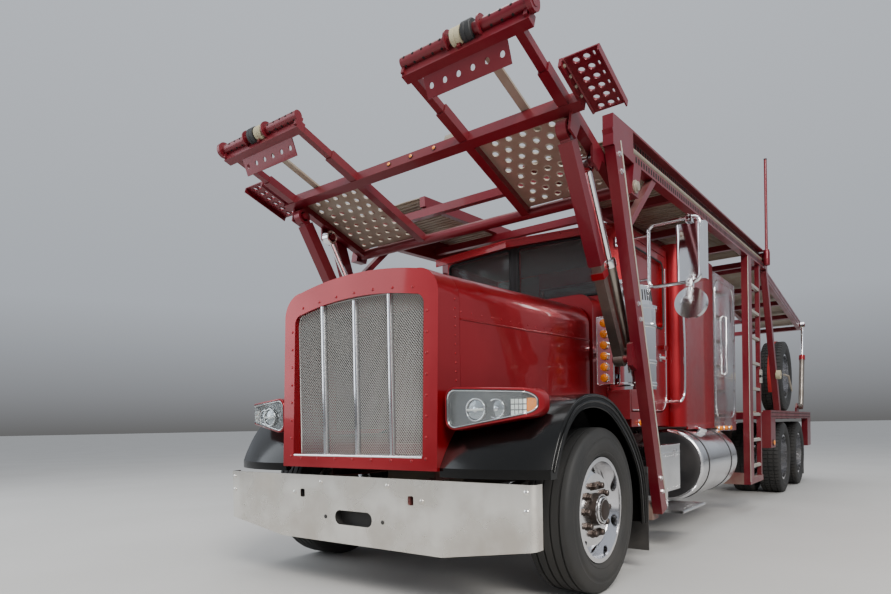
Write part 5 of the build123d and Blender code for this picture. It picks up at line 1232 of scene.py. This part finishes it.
tyre_rubber = finish("tyre rubber", (0.016, 0.016, 0.016), 0.66, worn=(0.032, 0.031, 0.03), wear=0.5,
                     dust=0.05, scale=3.5, bump=0.25)
coat_nodes(tyre_rubber, "spare_tyre", "front_tyre_left", "front_tyre_right",
           *[f"rear_tyres_{n}_{side}" for n in (1, 2) for side in ("left", "right")])
TYRE_R = 0.475
TYRE_HALF = 0.1375
TREAD_PITCHES = 56
TWIN_SHIFT = 0.17


def tyre_rings(blocks):
    """Turn positions and the share of groove depth at each of them."""
    if blocks:
        steps = ((0.0, 1.0), (0.16, 1.0), (0.2, 0.0), (0.96, 0.0))
    else:
        steps = ((0.0, 0.0), (0.5, 0.0))
    rings = []
    for n in range(TREAD_PITCHES):
        rings += [(n / TREAD_PITCHES + share / TREAD_PITCHES, depth) for share, depth in steps]
    return rings


def tyre_profile(blocks):
    """Across the tyre: offset, radius, and 1 where a cross groove may cut."""
    wall = [
        (-0.1035, 0.292, 0), (-0.1035, 0.303, 0), (-0.112, 0.310, 0), (-0.124, 0.318, 0),
        (-0.129, 0.330, 0), (-0.1275, 0.334, 0), (-0.133, 0.345, 0), (-0.1372, 0.375, 0),
        (-0.1372, 0.392, 0), (-0.1345, 0.396, 0), (-0.1345, 0.412, 0), (-0.1365, 0.416, 0),
        (-0.132, 0.436, 0), (-0.126, 0.452, 0),
    ]
    shoulder = [(-0.119, 0.465, 1), (-0.108, 0.4712, 1)]
    crown = []
    for g in (-0.066, 0.0, 0.066) if blocks else (-0.078, -0.026, 0.026, 0.078):
        rise = TYRE_R - 0.0003 - 0.0036 * (g / TYRE_HALF) ** 2
        crown += [(g - 0.0065, rise, 1), (g - 0.0045, TYRE_R - 0.013, 0)]
        crown += [(g + 0.0045, TYRE_R - 0.013, 0), (g + 0.0065, rise, 1)]
    left = wall + shoulder
    right = [(-x, rad, cut) for x, rad, cut in reversed(left)]
    return left + crown + right


def build_tyre(name, centre, blocks, body, node):
    """One tyre round its axle, in place of a CAD tyre."""
    rings = tyre_rings(blocks)
    profile = tyre_profile(blocks)
    verts = []
    for turn, depth in rings:
        angle = 2 * math.pi * turn
        for x, rad, cut in profile:
            groove = 0.011 if abs(x) < 0.1 else 0.008
            reach = rad - depth * cut * groove
            verts.append((centre[0] + x, centre[1] + reach * math.cos(angle),
                          centre[2] + reach * math.sin(angle)))
    obj = piece(name, verts, hoop_faces(len(rings), len(profile)), tyre_rubber, body, smooth=True)
    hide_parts(node)


for side in ("left", "right"):
    build_tyre(f"steer_tyre_{side}", middle_of(f"front_tyre_{side}"), False, f"front_wheel_{side}_body",
               f"front_tyre_{side}")
    for axle in (1, 2):
        node_name = f"rear_tyres_{axle}_{side}"
        for label, shift in (("inner", -TWIN_SHIFT), ("outer", TWIN_SHIFT)):
            build_tyre(f"drive_tyre_{axle}_{side}_{label}", middle_of(node_name) + Vector((shift, 0, 0)),
                       True, f"rear_wheels_{axle}_{side}_body", node_name)
build_tyre("spare_tyre_treaded", middle_of("spare_tyre"), True, "chassis", "spare_tyre")

# Rack over the truck
# The car rack: channel rails on leaning legs and posts, in dark crimson rack
# paint whose upward faces turn pale pinkish in patches, a painted sky
# reflection, with two rows of tie slots along its edge.

# top=0.6 turns upward faces pale pinkish in patches: a painted sky reflection.
rack_paint = finish("rack paint", (0.15, 0.003, 0.012), 0.36, metal=0.4, coat=0.3,
                    worn=(0.18, 0.03, 0.03), wear=0.4, dust=0.12, top=0.6, scale=3.0, bump=0.06, grain=40.0)
galvanised = finish("galvanised", (0.40, 0.36, 0.29), 0.5, metal=0.6, worn=(0.29, 0.2, 0.14),
                    wear=0.5, scale=5.0, bump=0.12)
coat_nodes(rack_paint, "deck_frame", "front_legs", "rear_posts")
coat_nodes(galvanised, "deck_runways")
slot_dark = finish("slot shadow", (0.006, 0.004, 0.004), 0.8, worn=(0.03, 0.015, 0.012),
                   wear=0.4, dust=0.2)
DECK_TURN = math.radians(2.07)
DECK_Y = 430
DECK_Z = 2787
RACK_SIDE = 1225
SLOT_PITCH = 47
RIB_PITCH = 61


def deck_at(x, distance, drop):
    """A place on the deck: distance back along it, drop below its top."""
    y = DECK_Y + distance * math.cos(DECK_TURN) + drop * math.sin(DECK_TURN)
    z = DECK_Z + distance * math.sin(DECK_TURN) - drop * math.cos(DECK_TURN)
    return at(x, y, z)


deck_slots = []
web_slots = []
for s in (-1, 1):
    for n in range(88):
        deck_slots.append((deck_at(s * RACK_SIDE, 45 + SLOT_PITCH * n, 172), (s, 0, 0)))
        web_slots.append((deck_at(s * 1172, 45 + SLOT_PITCH * n, 46), (s, 0, 0)))
repeated("deck_slots", block_shape, deck_slots, 0.023, 0.036, 0.0025, slot_dark, "chassis")
repeated("deck_web_slots", block_shape, web_slots, 0.025, 0.05, 0.003, slot_dark, "chassis")
deck_pipes = [[deck_at(s * 1190, distance, 98) for distance in (20, 4180)] for s in (-1, 1)]
rods("deck_pipes", deck_pipes, 0.017, galvanised, "chassis", sides=12)
DECK_DOWN = (0, math.sin(DECK_TURN), -math.cos(DECK_TURN))
runway_ribs = [(deck_at(s * 825, 40 + RIB_PITCH * n, 20), DECK_DOWN) for n in range(68) for s in (-1, 1)]
repeated("runway_ribs", block_shape, runway_ribs, 0.655, 0.018, 0.012, galvanised, "chassis")
cleats = [(place + Vector((0, 0, 0.01)), UPWARD) for place, _ in runway_ribs]
repeated("runway_cleats", block_shape, cleats, 0.6, 0.012, 0.012, galvanised, "chassis")

# Pale bare steel for rungs, grips and latches, also used for painted highlights on leg and post edges.
pale_steel_and_highlight = finish("pale steel", (0.55, 0.53, 0.48), 0.4, metal=0.8, worn=(0.35, 0.27, 0.2),
                    wear=0.5, scale=5.0, bump=0.08)
LEG_TOP = Vector((150, 2700))
LEG_FOOT = Vector((930, 360))
leg_bolts = []
# Pale strips along the upper edge of each leg: a painted highlight.
edges = []
LEG_ACROSS = Vector((LEG_TOP.y - LEG_FOOT.y, LEG_FOOT.x - LEG_TOP.x)).normalized() * 50
for s in (-1, 1):
    for share in (0.06, 0.1, 0.42, 0.46, 0.9, 0.94):
        spot = LEG_TOP.lerp(LEG_FOOT, share)
        leg_bolts.append((at(s * RACK_SIDE, *spot), (s, 0, 0)))
    edges.append([at(s * RACK_SIDE, *(LEG_TOP.lerp(LEG_FOOT, share) + LEG_ACROSS)) for share in (0.03, 0.97)])
repeated("leg_bolts", bolt_shape, leg_bolts, 0.014, 0.014, 0.013, stainless, "chassis")
rods("leg_bright_edges", edges, 0.006, pale_steel_and_highlight, "chassis")

# Posts, ladders and marker pole
# Pale strips up one edge of each post as a painted highlight, galvanised rungs
# with raised grips, a latch on the ladder rail and a slim marker pole in a
# painted collar, capped in rubber.

coat_nodes(pale_steel_and_highlight, "ladder_rungs")
# Pale strips up one edge of each post: a painted highlight.
post_edges = [[at(s * RACK_SIDE, 3722, z) for z in (330, 2690)] for s in (-1, 1)]
rods("post_bright_edges", post_edges, 0.004, pale_steel_and_highlight, "chassis")
grips = [(at(s * 1196.5, 3922 + 45 * k, 495 + 280 * n), UPWARD)
         for s in (-1, 1) for n in range(8) for k in range(10)]
repeated("rung_grips", dome_shape, grips, 0.009, 0.009, 0.005, pale_steel_and_highlight, "chassis")
latches = [(at(s * 1219, 4375, z), (s, 0, 0)) for s in (-1, 1) for z in (1440, 1500)]
repeated("ladder_latches", block_shape, latches, 0.06, 0.09, 0.02, pale_steel_and_highlight, "chassis")
pole_base = at(1255, 4597, 0)
turned("marker_pole_collar", [(2760, 17), (2760, 34), (2775, 36), (2900, 36), (2915, 34), (2915, 17)],
       pole_base, UPWARD, rack_paint, "chassis", 24, closed=True)
turned("marker_pole_cap", [(3972, 17), (3976, 18), (3982, 17), (3984, 10), (3984.5, 2)], pole_base, UPWARD,
       rubber_and_shade, "chassis", 20)

# Head ramp
# Ramp over the hood on a hinge tube: square sleeves, a front bar with three
# ambers, dimpled plates in tan galvanised sheet and slotted side flaps.

coat_nodes(rack_paint, "head_ramp", "fly_ramp_left", "fly_ramp_right")
HEAD_TURN = math.radians(18.8)


def head_at(x, u, v):
    """A place on the head ramp: u forward along it, v above it."""
    y = 450 - u * math.cos(HEAD_TURN) + v * math.sin(HEAD_TURN)
    z = 2440 + u * math.sin(HEAD_TURN) + v * math.cos(HEAD_TURN)
    return at(x, y, z)


HEAD_UP = Vector((0, math.sin(HEAD_TURN), math.cos(HEAD_TURN)))
HEAD_AHEAD = Vector((0, -math.cos(HEAD_TURN), math.sin(HEAD_TURN)))
HOLE_SIDES = 16
HOLE_RADIUS = 21.5
HOLE_PITCH = 95
ROW_PITCH = 80
PLATE_IN = 496
PLATE_OUT = 1090
PLATE_BACK = 48
PLATE_FRONT = 733
PLATE_LOW = 14.8
PLATE_HIGH = 23.0


def punched_plate(name, s):
    """A plate with staggered round holes whose rims are dimpled down."""
    verts = []
    faces = []

    def add(x, u, v):
        verts.append(head_at(s * x, u, v))
        return len(verts) - 1

    def slab(x0, x1, u0, u1):
        for v in (PLATE_LOW, PLATE_HIGH):
            faces.append(tuple(add(x, u, v) for x, u in ((x0, u0), (x1, u0), (x1, u1), (x0, u1))))

    half_x = HOLE_PITCH / 2
    half_u = ROW_PITCH / 2
    for row in range(8):
        u = 110.5 + ROW_PITCH * row
        across = 5 - row % 2
        first = (PLATE_IN + PLATE_OUT - across * HOLE_PITCH) / 2
        slab(PLATE_IN, first - half_x, u - half_u, u + half_u)
        slab(first + across * HOLE_PITCH + half_x, PLATE_OUT, u - half_u, u + half_u)
        for n in range(across + 1):
            x = first + HOLE_PITCH * n
            rings = []
            for v, radius in (
                    (PLATE_LOW, None), (PLATE_LOW, HOLE_RADIUS + 7), (PLATE_LOW - 5, HOLE_RADIUS + 1),
                    (PLATE_LOW - 5, HOLE_RADIUS - 2), (PLATE_HIGH, HOLE_RADIUS), (PLATE_HIGH, None)):
                loop = []
                for k in range(HOLE_SIDES):
                    angle = 2 * math.pi * (k + 0.5) / HOLE_SIDES
                    dx = math.cos(angle)
                    du = math.sin(angle)
                    reach = radius or min(half_x / abs(dx), half_u / abs(du))
                    loop.append(add(x + dx * reach, u + du * reach, v))
                rings.append(loop)
            for inner, outer in zip(rings, rings[1:]):
                for k in range(HOLE_SIDES):
                    m = (k + 1) % HOLE_SIDES
                    faces.append((inner[k], inner[m], outer[m], outer[k]))
            for loop, v in ((rings[0], PLATE_LOW), (rings[-1], PLATE_HIGH)):
                for sx, su, k in ((1, 1, 1), (-1, 1, 5), (-1, -1, 9), (1, -1, 13)):
                    corner = add(x + sx * half_x, u + su * half_u, v)
                    faces.append((loop[k], loop[k + 1], corner))
    slab(PLATE_IN, PLATE_OUT, PLATE_BACK, 70.5)
    slab(PLATE_IN, PLATE_OUT, 710.5, PLATE_FRONT)
    corners = [(PLATE_IN, PLATE_BACK), (PLATE_OUT, PLATE_BACK), (PLATE_OUT, PLATE_FRONT),
               (PLATE_IN, PLATE_FRONT)]
    for (x0, u0), (x1, u1) in zip(corners, corners[1:] + corners[:1]):
        faces.append((add(x0, u0, PLATE_LOW), add(x1, u1, PLATE_LOW), add(x1, u1, PLATE_HIGH),
                      add(x0, u0, PLATE_HIGH)))
    return piece(name, verts, faces, galvanised, "head_ramp_body", smooth=True)


for side, s in SIDES:
    punched_plate(f"ramp_plate_{side}", s)
    rims = [head_at(s * x, 675 + 64 * n, 19.5) for n in range(6) for x in (1277, 1332)]
    for n, place in enumerate(rims, 1):
        turned(f"flap_rim_{n}_{side}", [(-2, 17.2), (-2, 24), (3, 22), (4, 18)], place, -HEAD_UP, rack_paint,
               "head_ramp_body", 16, closed=True)
    bolts = [(head_at(s * 1215.5, u, 5), (s, 0, 0)) for u in (790, 860, 930, 1000)]
    repeated(f"flap_bolts_{side}", bolt_shape, bolts, 0.009, 0.009, 0.008, galvanised, "head_ramp_body")
    turned(f"hinge_nut_{side}", [(0, 40), (10, 40), (12, 30), (24, 28), (26, 10), (27, 2)],
           at(s * RACK_SIDE, 450, 2440), (s, 0, 0), galvanised, "chassis", 24)
for n, x in enumerate((-141, 48, 236), 1):
    spot = head_at(x, 803, 0)
    turned(f"ramp_lamp_base_{n}", [(0, 15), (5, 15), (6, 13), (6, 2)], spot, HEAD_AHEAD, rubber_and_shade,
           "head_ramp_body", 24)
    turned(f"ramp_lamp_lens_{n}", [(5, 12), (9, 10), (12, 6), (12.5, 2)], spot, HEAD_AHEAD, amber,
           "head_ramp_body", 24)
repeated("bar_latch", block_shape, [(head_at(338, 775, v), HEAD_UP) for v in (43, 60)], 0.07, 0.05, 0.03,
         galvanised, "head_ramp_body")
latch_handle = [head_at(300, 775, 70), head_at(380, 775, 72), head_at(395, 760, 60)]
rods("bar_latch_handle", [latch_handle], 0.008, pale_steel_and_highlight, "head_ramp_body")

# Sliding ramp ends
# Each end slides in the sleeves: a flat galvanised arm, a tip beam, and a
# winch tube with ratchet holes and a roll of yellow webbing.

webbing = finish("webbing", (0.5, 0.45, 0.3), 0.85, worn=(0.33, 0.29, 0.2), wear=0.6, dust=0.2,
                 bump=0.5, grain=300)
ACROSS = (1, 0, 0)


def round_tube(turn):
    """Outward direction at a turn round a tube that lies across the ramp."""
    return HEAD_UP * math.cos(turn) + HEAD_AHEAD * math.sin(turn)


for side, s in SIDES:
    body = f"fly_{side}_body"
    section = [(849, 41), (901, 41), (901, 55), (849, 55)]
    loops = [[head_at(s * x, u, v) for x, v in section] for u in (618, 1311)]
    lofted(f"flat_arm_{side}", loops, galvanised, body)
    tube = head_at(0, 1357, 45)
    holes = []
    for x in range(460, 1180, 60):
        for turn in (0, 90, 180, 270):
            out = round_tube(math.radians(turn))
            holes.append((tube + Vector((s * x / 1000, 0, 0)) + out * 0.0305, out))
    repeated(f"winch_tube_holes_{side}", plug_shape, holes, 0.007, 0.007, 0.003, slot_dark, body)
    for label, x, half, high, material in (
            ("pale", 800, 32, 46, webbing), ("dark", 868, 30, 52, rubber_and_shade)):
        roll = [(-half, 31), (-half, high - 4), (4 - half, high), (-6, high), (-3, high - 3), (0, high),
                (half - 4, high), (half, high - 4), (half, 31)]
        turned(f"strap_roll_{label}_{side}", roll, tube + Vector((s * x / 1000, 0, 0)), ACROSS, material,
               body, 28, closed=True)
    for n, x in enumerate((740, 940), 1):
        turned(f"strap_flange_{n}_{side}", [(-5, 31), (-5, 52), (5, 52), (5, 31)],
               tube + Vector((s * x / 1000, 0, 0)), ACROSS, rack_paint, body, 28, closed=True)
    teeth = []
    for n in range(16):
        out = round_tube(2 * math.pi * n / 16)
        teeth.append((tube + Vector((s * 1.2185, 0, 0)) + out * 0.0475, out))
    repeated(f"ratchet_teeth_{side}", block_shape, teeth, 0.018, 0.010, 0.007, galvanised, body)

# Legs and lift cylinders of the head ramp
# Square legs that telescope, the outer tube painted and the inner one bare
# oily steel with a red collar, beside chrome rods in bare steel barrels.

bare_steel = finish("bare steel", (0.30, 0.27, 0.24), 0.28, metal=0.95, worn=(0.16, 0.12, 0.09),
                    wear=0.6, dust=0.05, scale=5.0, bump=0.08, brush=(4.0, 4.0, 0.5))
coat_nodes(bare_steel, "leg_inner_tubes", "head_lift_barrels", "rear_lift_barrels")
coat_nodes(rack_paint, "leg_outer_tubes")
coat_nodes(chrome, "head_lift_rods", "rear_lift_rods")
STRUT_X = 1092
LEG_PIN = (500, 1380)
LEG_EYE = (-248, 2577)
LIFT_PIN = (655, 1455)
LIFT_EYE = (28, 2484)


def strut_point(pin, eye, distance, x):
    """A place along a strut from its pin towards its eye, and its direction."""
    pin = Vector(pin)
    way = (Vector(eye) - pin).normalized()
    spot = pin + way * distance
    return at(x, spot[0], spot[1]), (0, way[0], way[1])


for side, s in SIDES:
    place, way = strut_point(LEG_PIN, LEG_EYE, 575, s * STRUT_X)
    across = Vector(ACROSS)
    way = Vector(way)
    up = way.cross(across)
    verts = [place + across * a / 1000 + up * b / 1000 + way * d for d in (-0.02, 0.02)
             for size in (40, 30.5) for a, b in ((-size, -size), (size, -size), (size, size), (-size, size))]
    faces = []
    for k in range(4):
        m = (k + 1) % 4
        faces += [(k, m, 8 + m, 8 + k), (4 + k, 4 + m, 12 + m, 12 + k), (k, m, 4 + m, 4 + k),
                  (8 + k, 8 + m, 12 + m, 12 + k)]
    piece(f"leg_collar_{side}", verts, faces, red_paint, "legs_lower")
    place, way = strut_point(LIFT_PIN, LIFT_EYE, 620, s * STRUT_X)
    turned(f"lift_neck_{side}", [(-45, 38), (-45, 43), (-4, 43), (3, 40), (3, 26), (-6, 26), (-6, 37)], place,
           way, stainless, "lift_lower", 30, closed=True)

# Lower deck and rear ramp
# Low deck over the rear axles and the tilting ramp above it, in rack paint
# with tan runways that are ribbed across, slotted edges and an amber marker.

coat_nodes(rack_paint, "lower_deck", "rear_ramp", "rear_hitch")
REAR_TURN = math.radians(5.6)
PIVOT_BACK = 4327.5
PIVOT_DROP = 143.5
PIVOT_Y = DECK_Y + PIVOT_BACK * math.cos(DECK_TURN) + PIVOT_DROP * math.sin(DECK_TURN)
PIVOT_Z = DECK_Z + PIVOT_BACK * math.sin(DECK_TURN) - PIVOT_DROP * math.cos(DECK_TURN)


def rear_at(x, u, v):
    """A place on the rear ramp: u back along it, v above it."""
    y = PIVOT_Y + u * math.cos(REAR_TURN) + v * math.sin(REAR_TURN)
    z = PIVOT_Z - u * math.sin(REAR_TURN) + v * math.cos(REAR_TURN)
    return at(x, y, z)


REAR_UP = Vector((0, math.sin(REAR_TURN), math.cos(REAR_TURN)))
rear_ribs = [(rear_at(s * 775, 100 + RIB_PITCH * n, 47.5), REAR_UP) for n in range(53) for s in (-1, 1)]
repeated("rear_ramp_cleats", block_shape, rear_ribs, 0.62, 0.014, 0.01, galvanised, "rear_ramp_body")
rear_slots = [(rear_at(s * 1156, 120 + SLOT_PITCH * n, v), (s, 0, 0))
              for n in range(66) for s in (-1, 1) for v in (-30, 25)]
repeated("rear_ramp_slots", block_shape, rear_slots, 0.026, 0.012, 0.0025, slot_dark, "rear_ramp_body")
low_ribs = [(at(s * 790, 4950 + RIB_PITCH * n, 1083), UPWARD) for n in range(57) for s in (-1, 1)]
repeated("lower_deck_cleats", block_shape, low_ribs, 0.66, 0.014, 0.01, galvanised, "chassis")
sill_slots = [(at(s * RACK_SIDE, 4950 + 52 * n, z), (s, 0, 0))
              for n in range(66) for s in (-1, 1) for z in (1020, 1065)]
repeated("sill_slots", block_shape, sill_slots, 0.028, 0.013, 0.0025, slot_dark, "chassis")
for side, s in SIDES:
    section = ((442, 38.5), (1108, 38.5), (1108, 47), (442, 47))
    loops = [[rear_at(s * x, u, v) for x, v in section] for u in (58, 3332)]
    lofted(f"rear_ramp_sheet_{side}", loops, galvanised, "rear_ramp_body")
    spot = at(s * RACK_SIDE, 5050, 700)
    turned(f"guard_lamp_base_{side}", [(0, 38), (8, 38), (10, 34), (10, 2)], spot, (s, 0, 0), rubber_and_shade,
           "chassis", 28)
    turned(f"guard_lamp_lens_{side}", [(9, 32), (16, 28), (21, 16), (22, 2)], spot, (s, 0, 0), amber,
           "chassis", 28)
    place, way = strut_point((7600, 1180), (7903, 2472), 820, s * 1195)
    turned(f"rear_lift_collar_{side}", [(-70, 36), (-70, 44), (0, 44), (4, 40), (4, 26), (-5, 26), (-5, 35)],
           place, way, red_paint, "rear_lift_lower", 30, closed=True)

# Spare wheel and its straps
# The spare stands on the left sill, held by a red strap over its tread and a
# rolled webbing strap that hangs on the brace above it.

strap_red = finish("red strap", (0.35, 0.012, 0.012), 0.8, worn=(0.2, 0.03, 0.025), wear=0.5,
                   dust=0.2, bump=0.4, grain=300)
STRAP_RADIUS = 0.479
ROLL_PLACE = at(1246, 5330, 1540)
spare = middle_of("spare_tyre")
loops = []
for n in range(25):
    angle = math.radians(-28 + 236 * n / 24)
    y = STRAP_RADIUS * math.cos(angle)
    z = STRAP_RADIUS * math.sin(angle)
    way = Vector((y, z)).normalized()
    loops.append([spare + Vector((x, y + way[0] * lift, z + way[1] * lift))
                  for x, lift in ((-0.025, 0.0), (0.025, 0.0), (0.025, 0.004), (-0.025, 0.004))])
lofted("spare_strap", loops, strap_red, "chassis", smooth=True)
turned("webbing_roll", [(-27, 12), (-27, 52), (-22, 56), (22, 56), (27, 52), (27, 12)], ROLL_PLACE, ACROSS,
       webbing, "chassis", 32, closed=True)
turned("webbing_roll_pin", [(-40, 11), (30, 11), (32, 18), (36, 18), (37, 2)], ROLL_PLACE, ACROSS, galvanised,
       "chassis", 20)
clamp_foot = at(1235, 6180, 1570)
rods("spare_clamp", [[clamp_foot, at(1235, 5850, 1570)], [clamp_foot, at(1235, 6440, 1380)]], 0.012,
     galvanised, "chassis")

# Lamps
# Amber markers in bright rings and a small white one on the skirts, and three
# red lamps each side on the tail, pressed into black rubber rings.

coat_nodes(amber, "lamps")
red_lens = finish("red lens", (0.45, 0.006, 0.006), 0.15, coat=1.0, worn=(0.3, 0.02, 0.02),
                  wear=0.3, dust=0.2, bump=0.15, grain=60.0)
skirt_spots = [(at(s * 880, 1530, 970), (s, 0, 0)) for s in (-1, 1)]
repeated("skirt_lamps", dome_shape, skirt_spots, 0.014, 0.014, 0.008, led_white, "chassis")
MARKERS = [(880, y, 970) for y in (1420, 1640)] + [(1000, y, 900) for y in (3400, 3620, 3840)]
MARKER_LENS = [(-14, 23), (0, 23), (4, 19), (6, 10), (6.5, 2)]
for side, s in SIDES:
    for n, x in enumerate((800, 900, 1000), 1):
        spot = at(s * x, 8420, 1040)
        turned(f"tail_lamp_{n}_{side}", [(1, 41), (20, 41), (26, 36), (30, 20), (31, 2)], spot, BACKWARD,
               red_lens, "chassis", 28)
        turned(f"tail_lamp_ring_{n}_{side}", [(0, 40), (0, 50), (10, 50), (14, 45), (14, 40)], spot, BACKWARD,
               rubber_and_shade, "chassis", 28, closed=True)
    for n, (x, y, z) in enumerate(MARKERS, 1):
        turned(f"skirt_lens_{n}_{side}", MARKER_LENS, at(s * (x + 20), y, z), (s, 0, 0), amber, "chassis", 20)
        turned(f"skirt_lens_ring_{n}_{side}", ring(25, 3.5, 8), at(s * (x + 3), y, z), (s, 0, 0), chrome,
               "chassis", 24, closed=True)

# Floor and studio light
# A plain pale floor under soft light from large panels, and a pale surround
# that darkens towards the horizon, so that bright metal has something to show.

floor_data = bpy.data.meshes.new("floor")
floor_data.from_pydata([(-400, -400, 0), (400, -400, 0), (400, 400, 0), (-400, 400, 0)], [], [(0, 1, 2, 3)])
floor = bpy.data.objects.new("floor", floor_data)
scene.collection.objects.link(floor)
pale_floor = finish("pale floor", (0.50, 0.49, 0.47), 0.85, worn=(0.44, 0.43, 0.41), wear=0.4,
                    dust=0.0, scale=0.6, bump=0.1)
floor_data.materials.append(pale_floor)

world = bpy.data.worlds.new("studio")
scene.world = world
world.use_nodes = True
sky = world.node_tree
sky_split = sky.nodes.new("ShaderNodeSeparateXYZ")
sky.links.new(sky.nodes.new("ShaderNodeTexCoord").outputs["Generated"], sky_split.inputs["Vector"])
sky_ramp = sky.nodes.new("ShaderNodeValToRGB")
sky.links.new(ramp_between(sky, sky_split.outputs["Z"], -0.2, 1.0), sky_ramp.inputs["Fac"])
stops = sky_ramp.color_ramp.elements
stops[0].color = (0.16, 0.15, 0.14, 1.0)
stops[1].color = (0.95, 1.0, 1.08, 1.0)
for place, tone in ((0.165, (0.17, 0.17, 0.17)), (0.21, (0.31, 0.32, 0.34)), (0.32, (0.58, 0.62, 0.68))):
    stops.new(place).color = (*tone, 1.0)
sky.links.new(sky_ramp.outputs["Color"], sky.nodes["Background"].inputs["Color"])
sky.nodes["Background"].inputs["Strength"].default_value = 0.8


def area_light(name, place, aim, size, power, colour):
    """A soft square light that points at aim."""
    lamp = bpy.data.lights.new(name, "AREA")
    lamp.size = size
    lamp.energy = power
    lamp.color = colour
    obj = bpy.data.objects.new(name, lamp)
    obj.location = place
    obj.rotation_euler = (Vector(aim) - Vector(place)).to_track_quat("-Z", "Y").to_euler()
    scene.collection.objects.link(obj)


area_light("key", (7.5, -9.5, 8.0), (0, -1.5, 1.2), 5.0, 1500.0, (1.0, 0.97, 0.92))
area_light("fill", (-8.0, -9.0, 5.0), (0, -2.5, 1.5), 7.0, 420.0, (0.88, 0.94, 1.0))
area_light("top", (0.0, 0.0, 12.0), (0, 0, 0), 10.0, 800.0, (1.0, 1.0, 1.0))
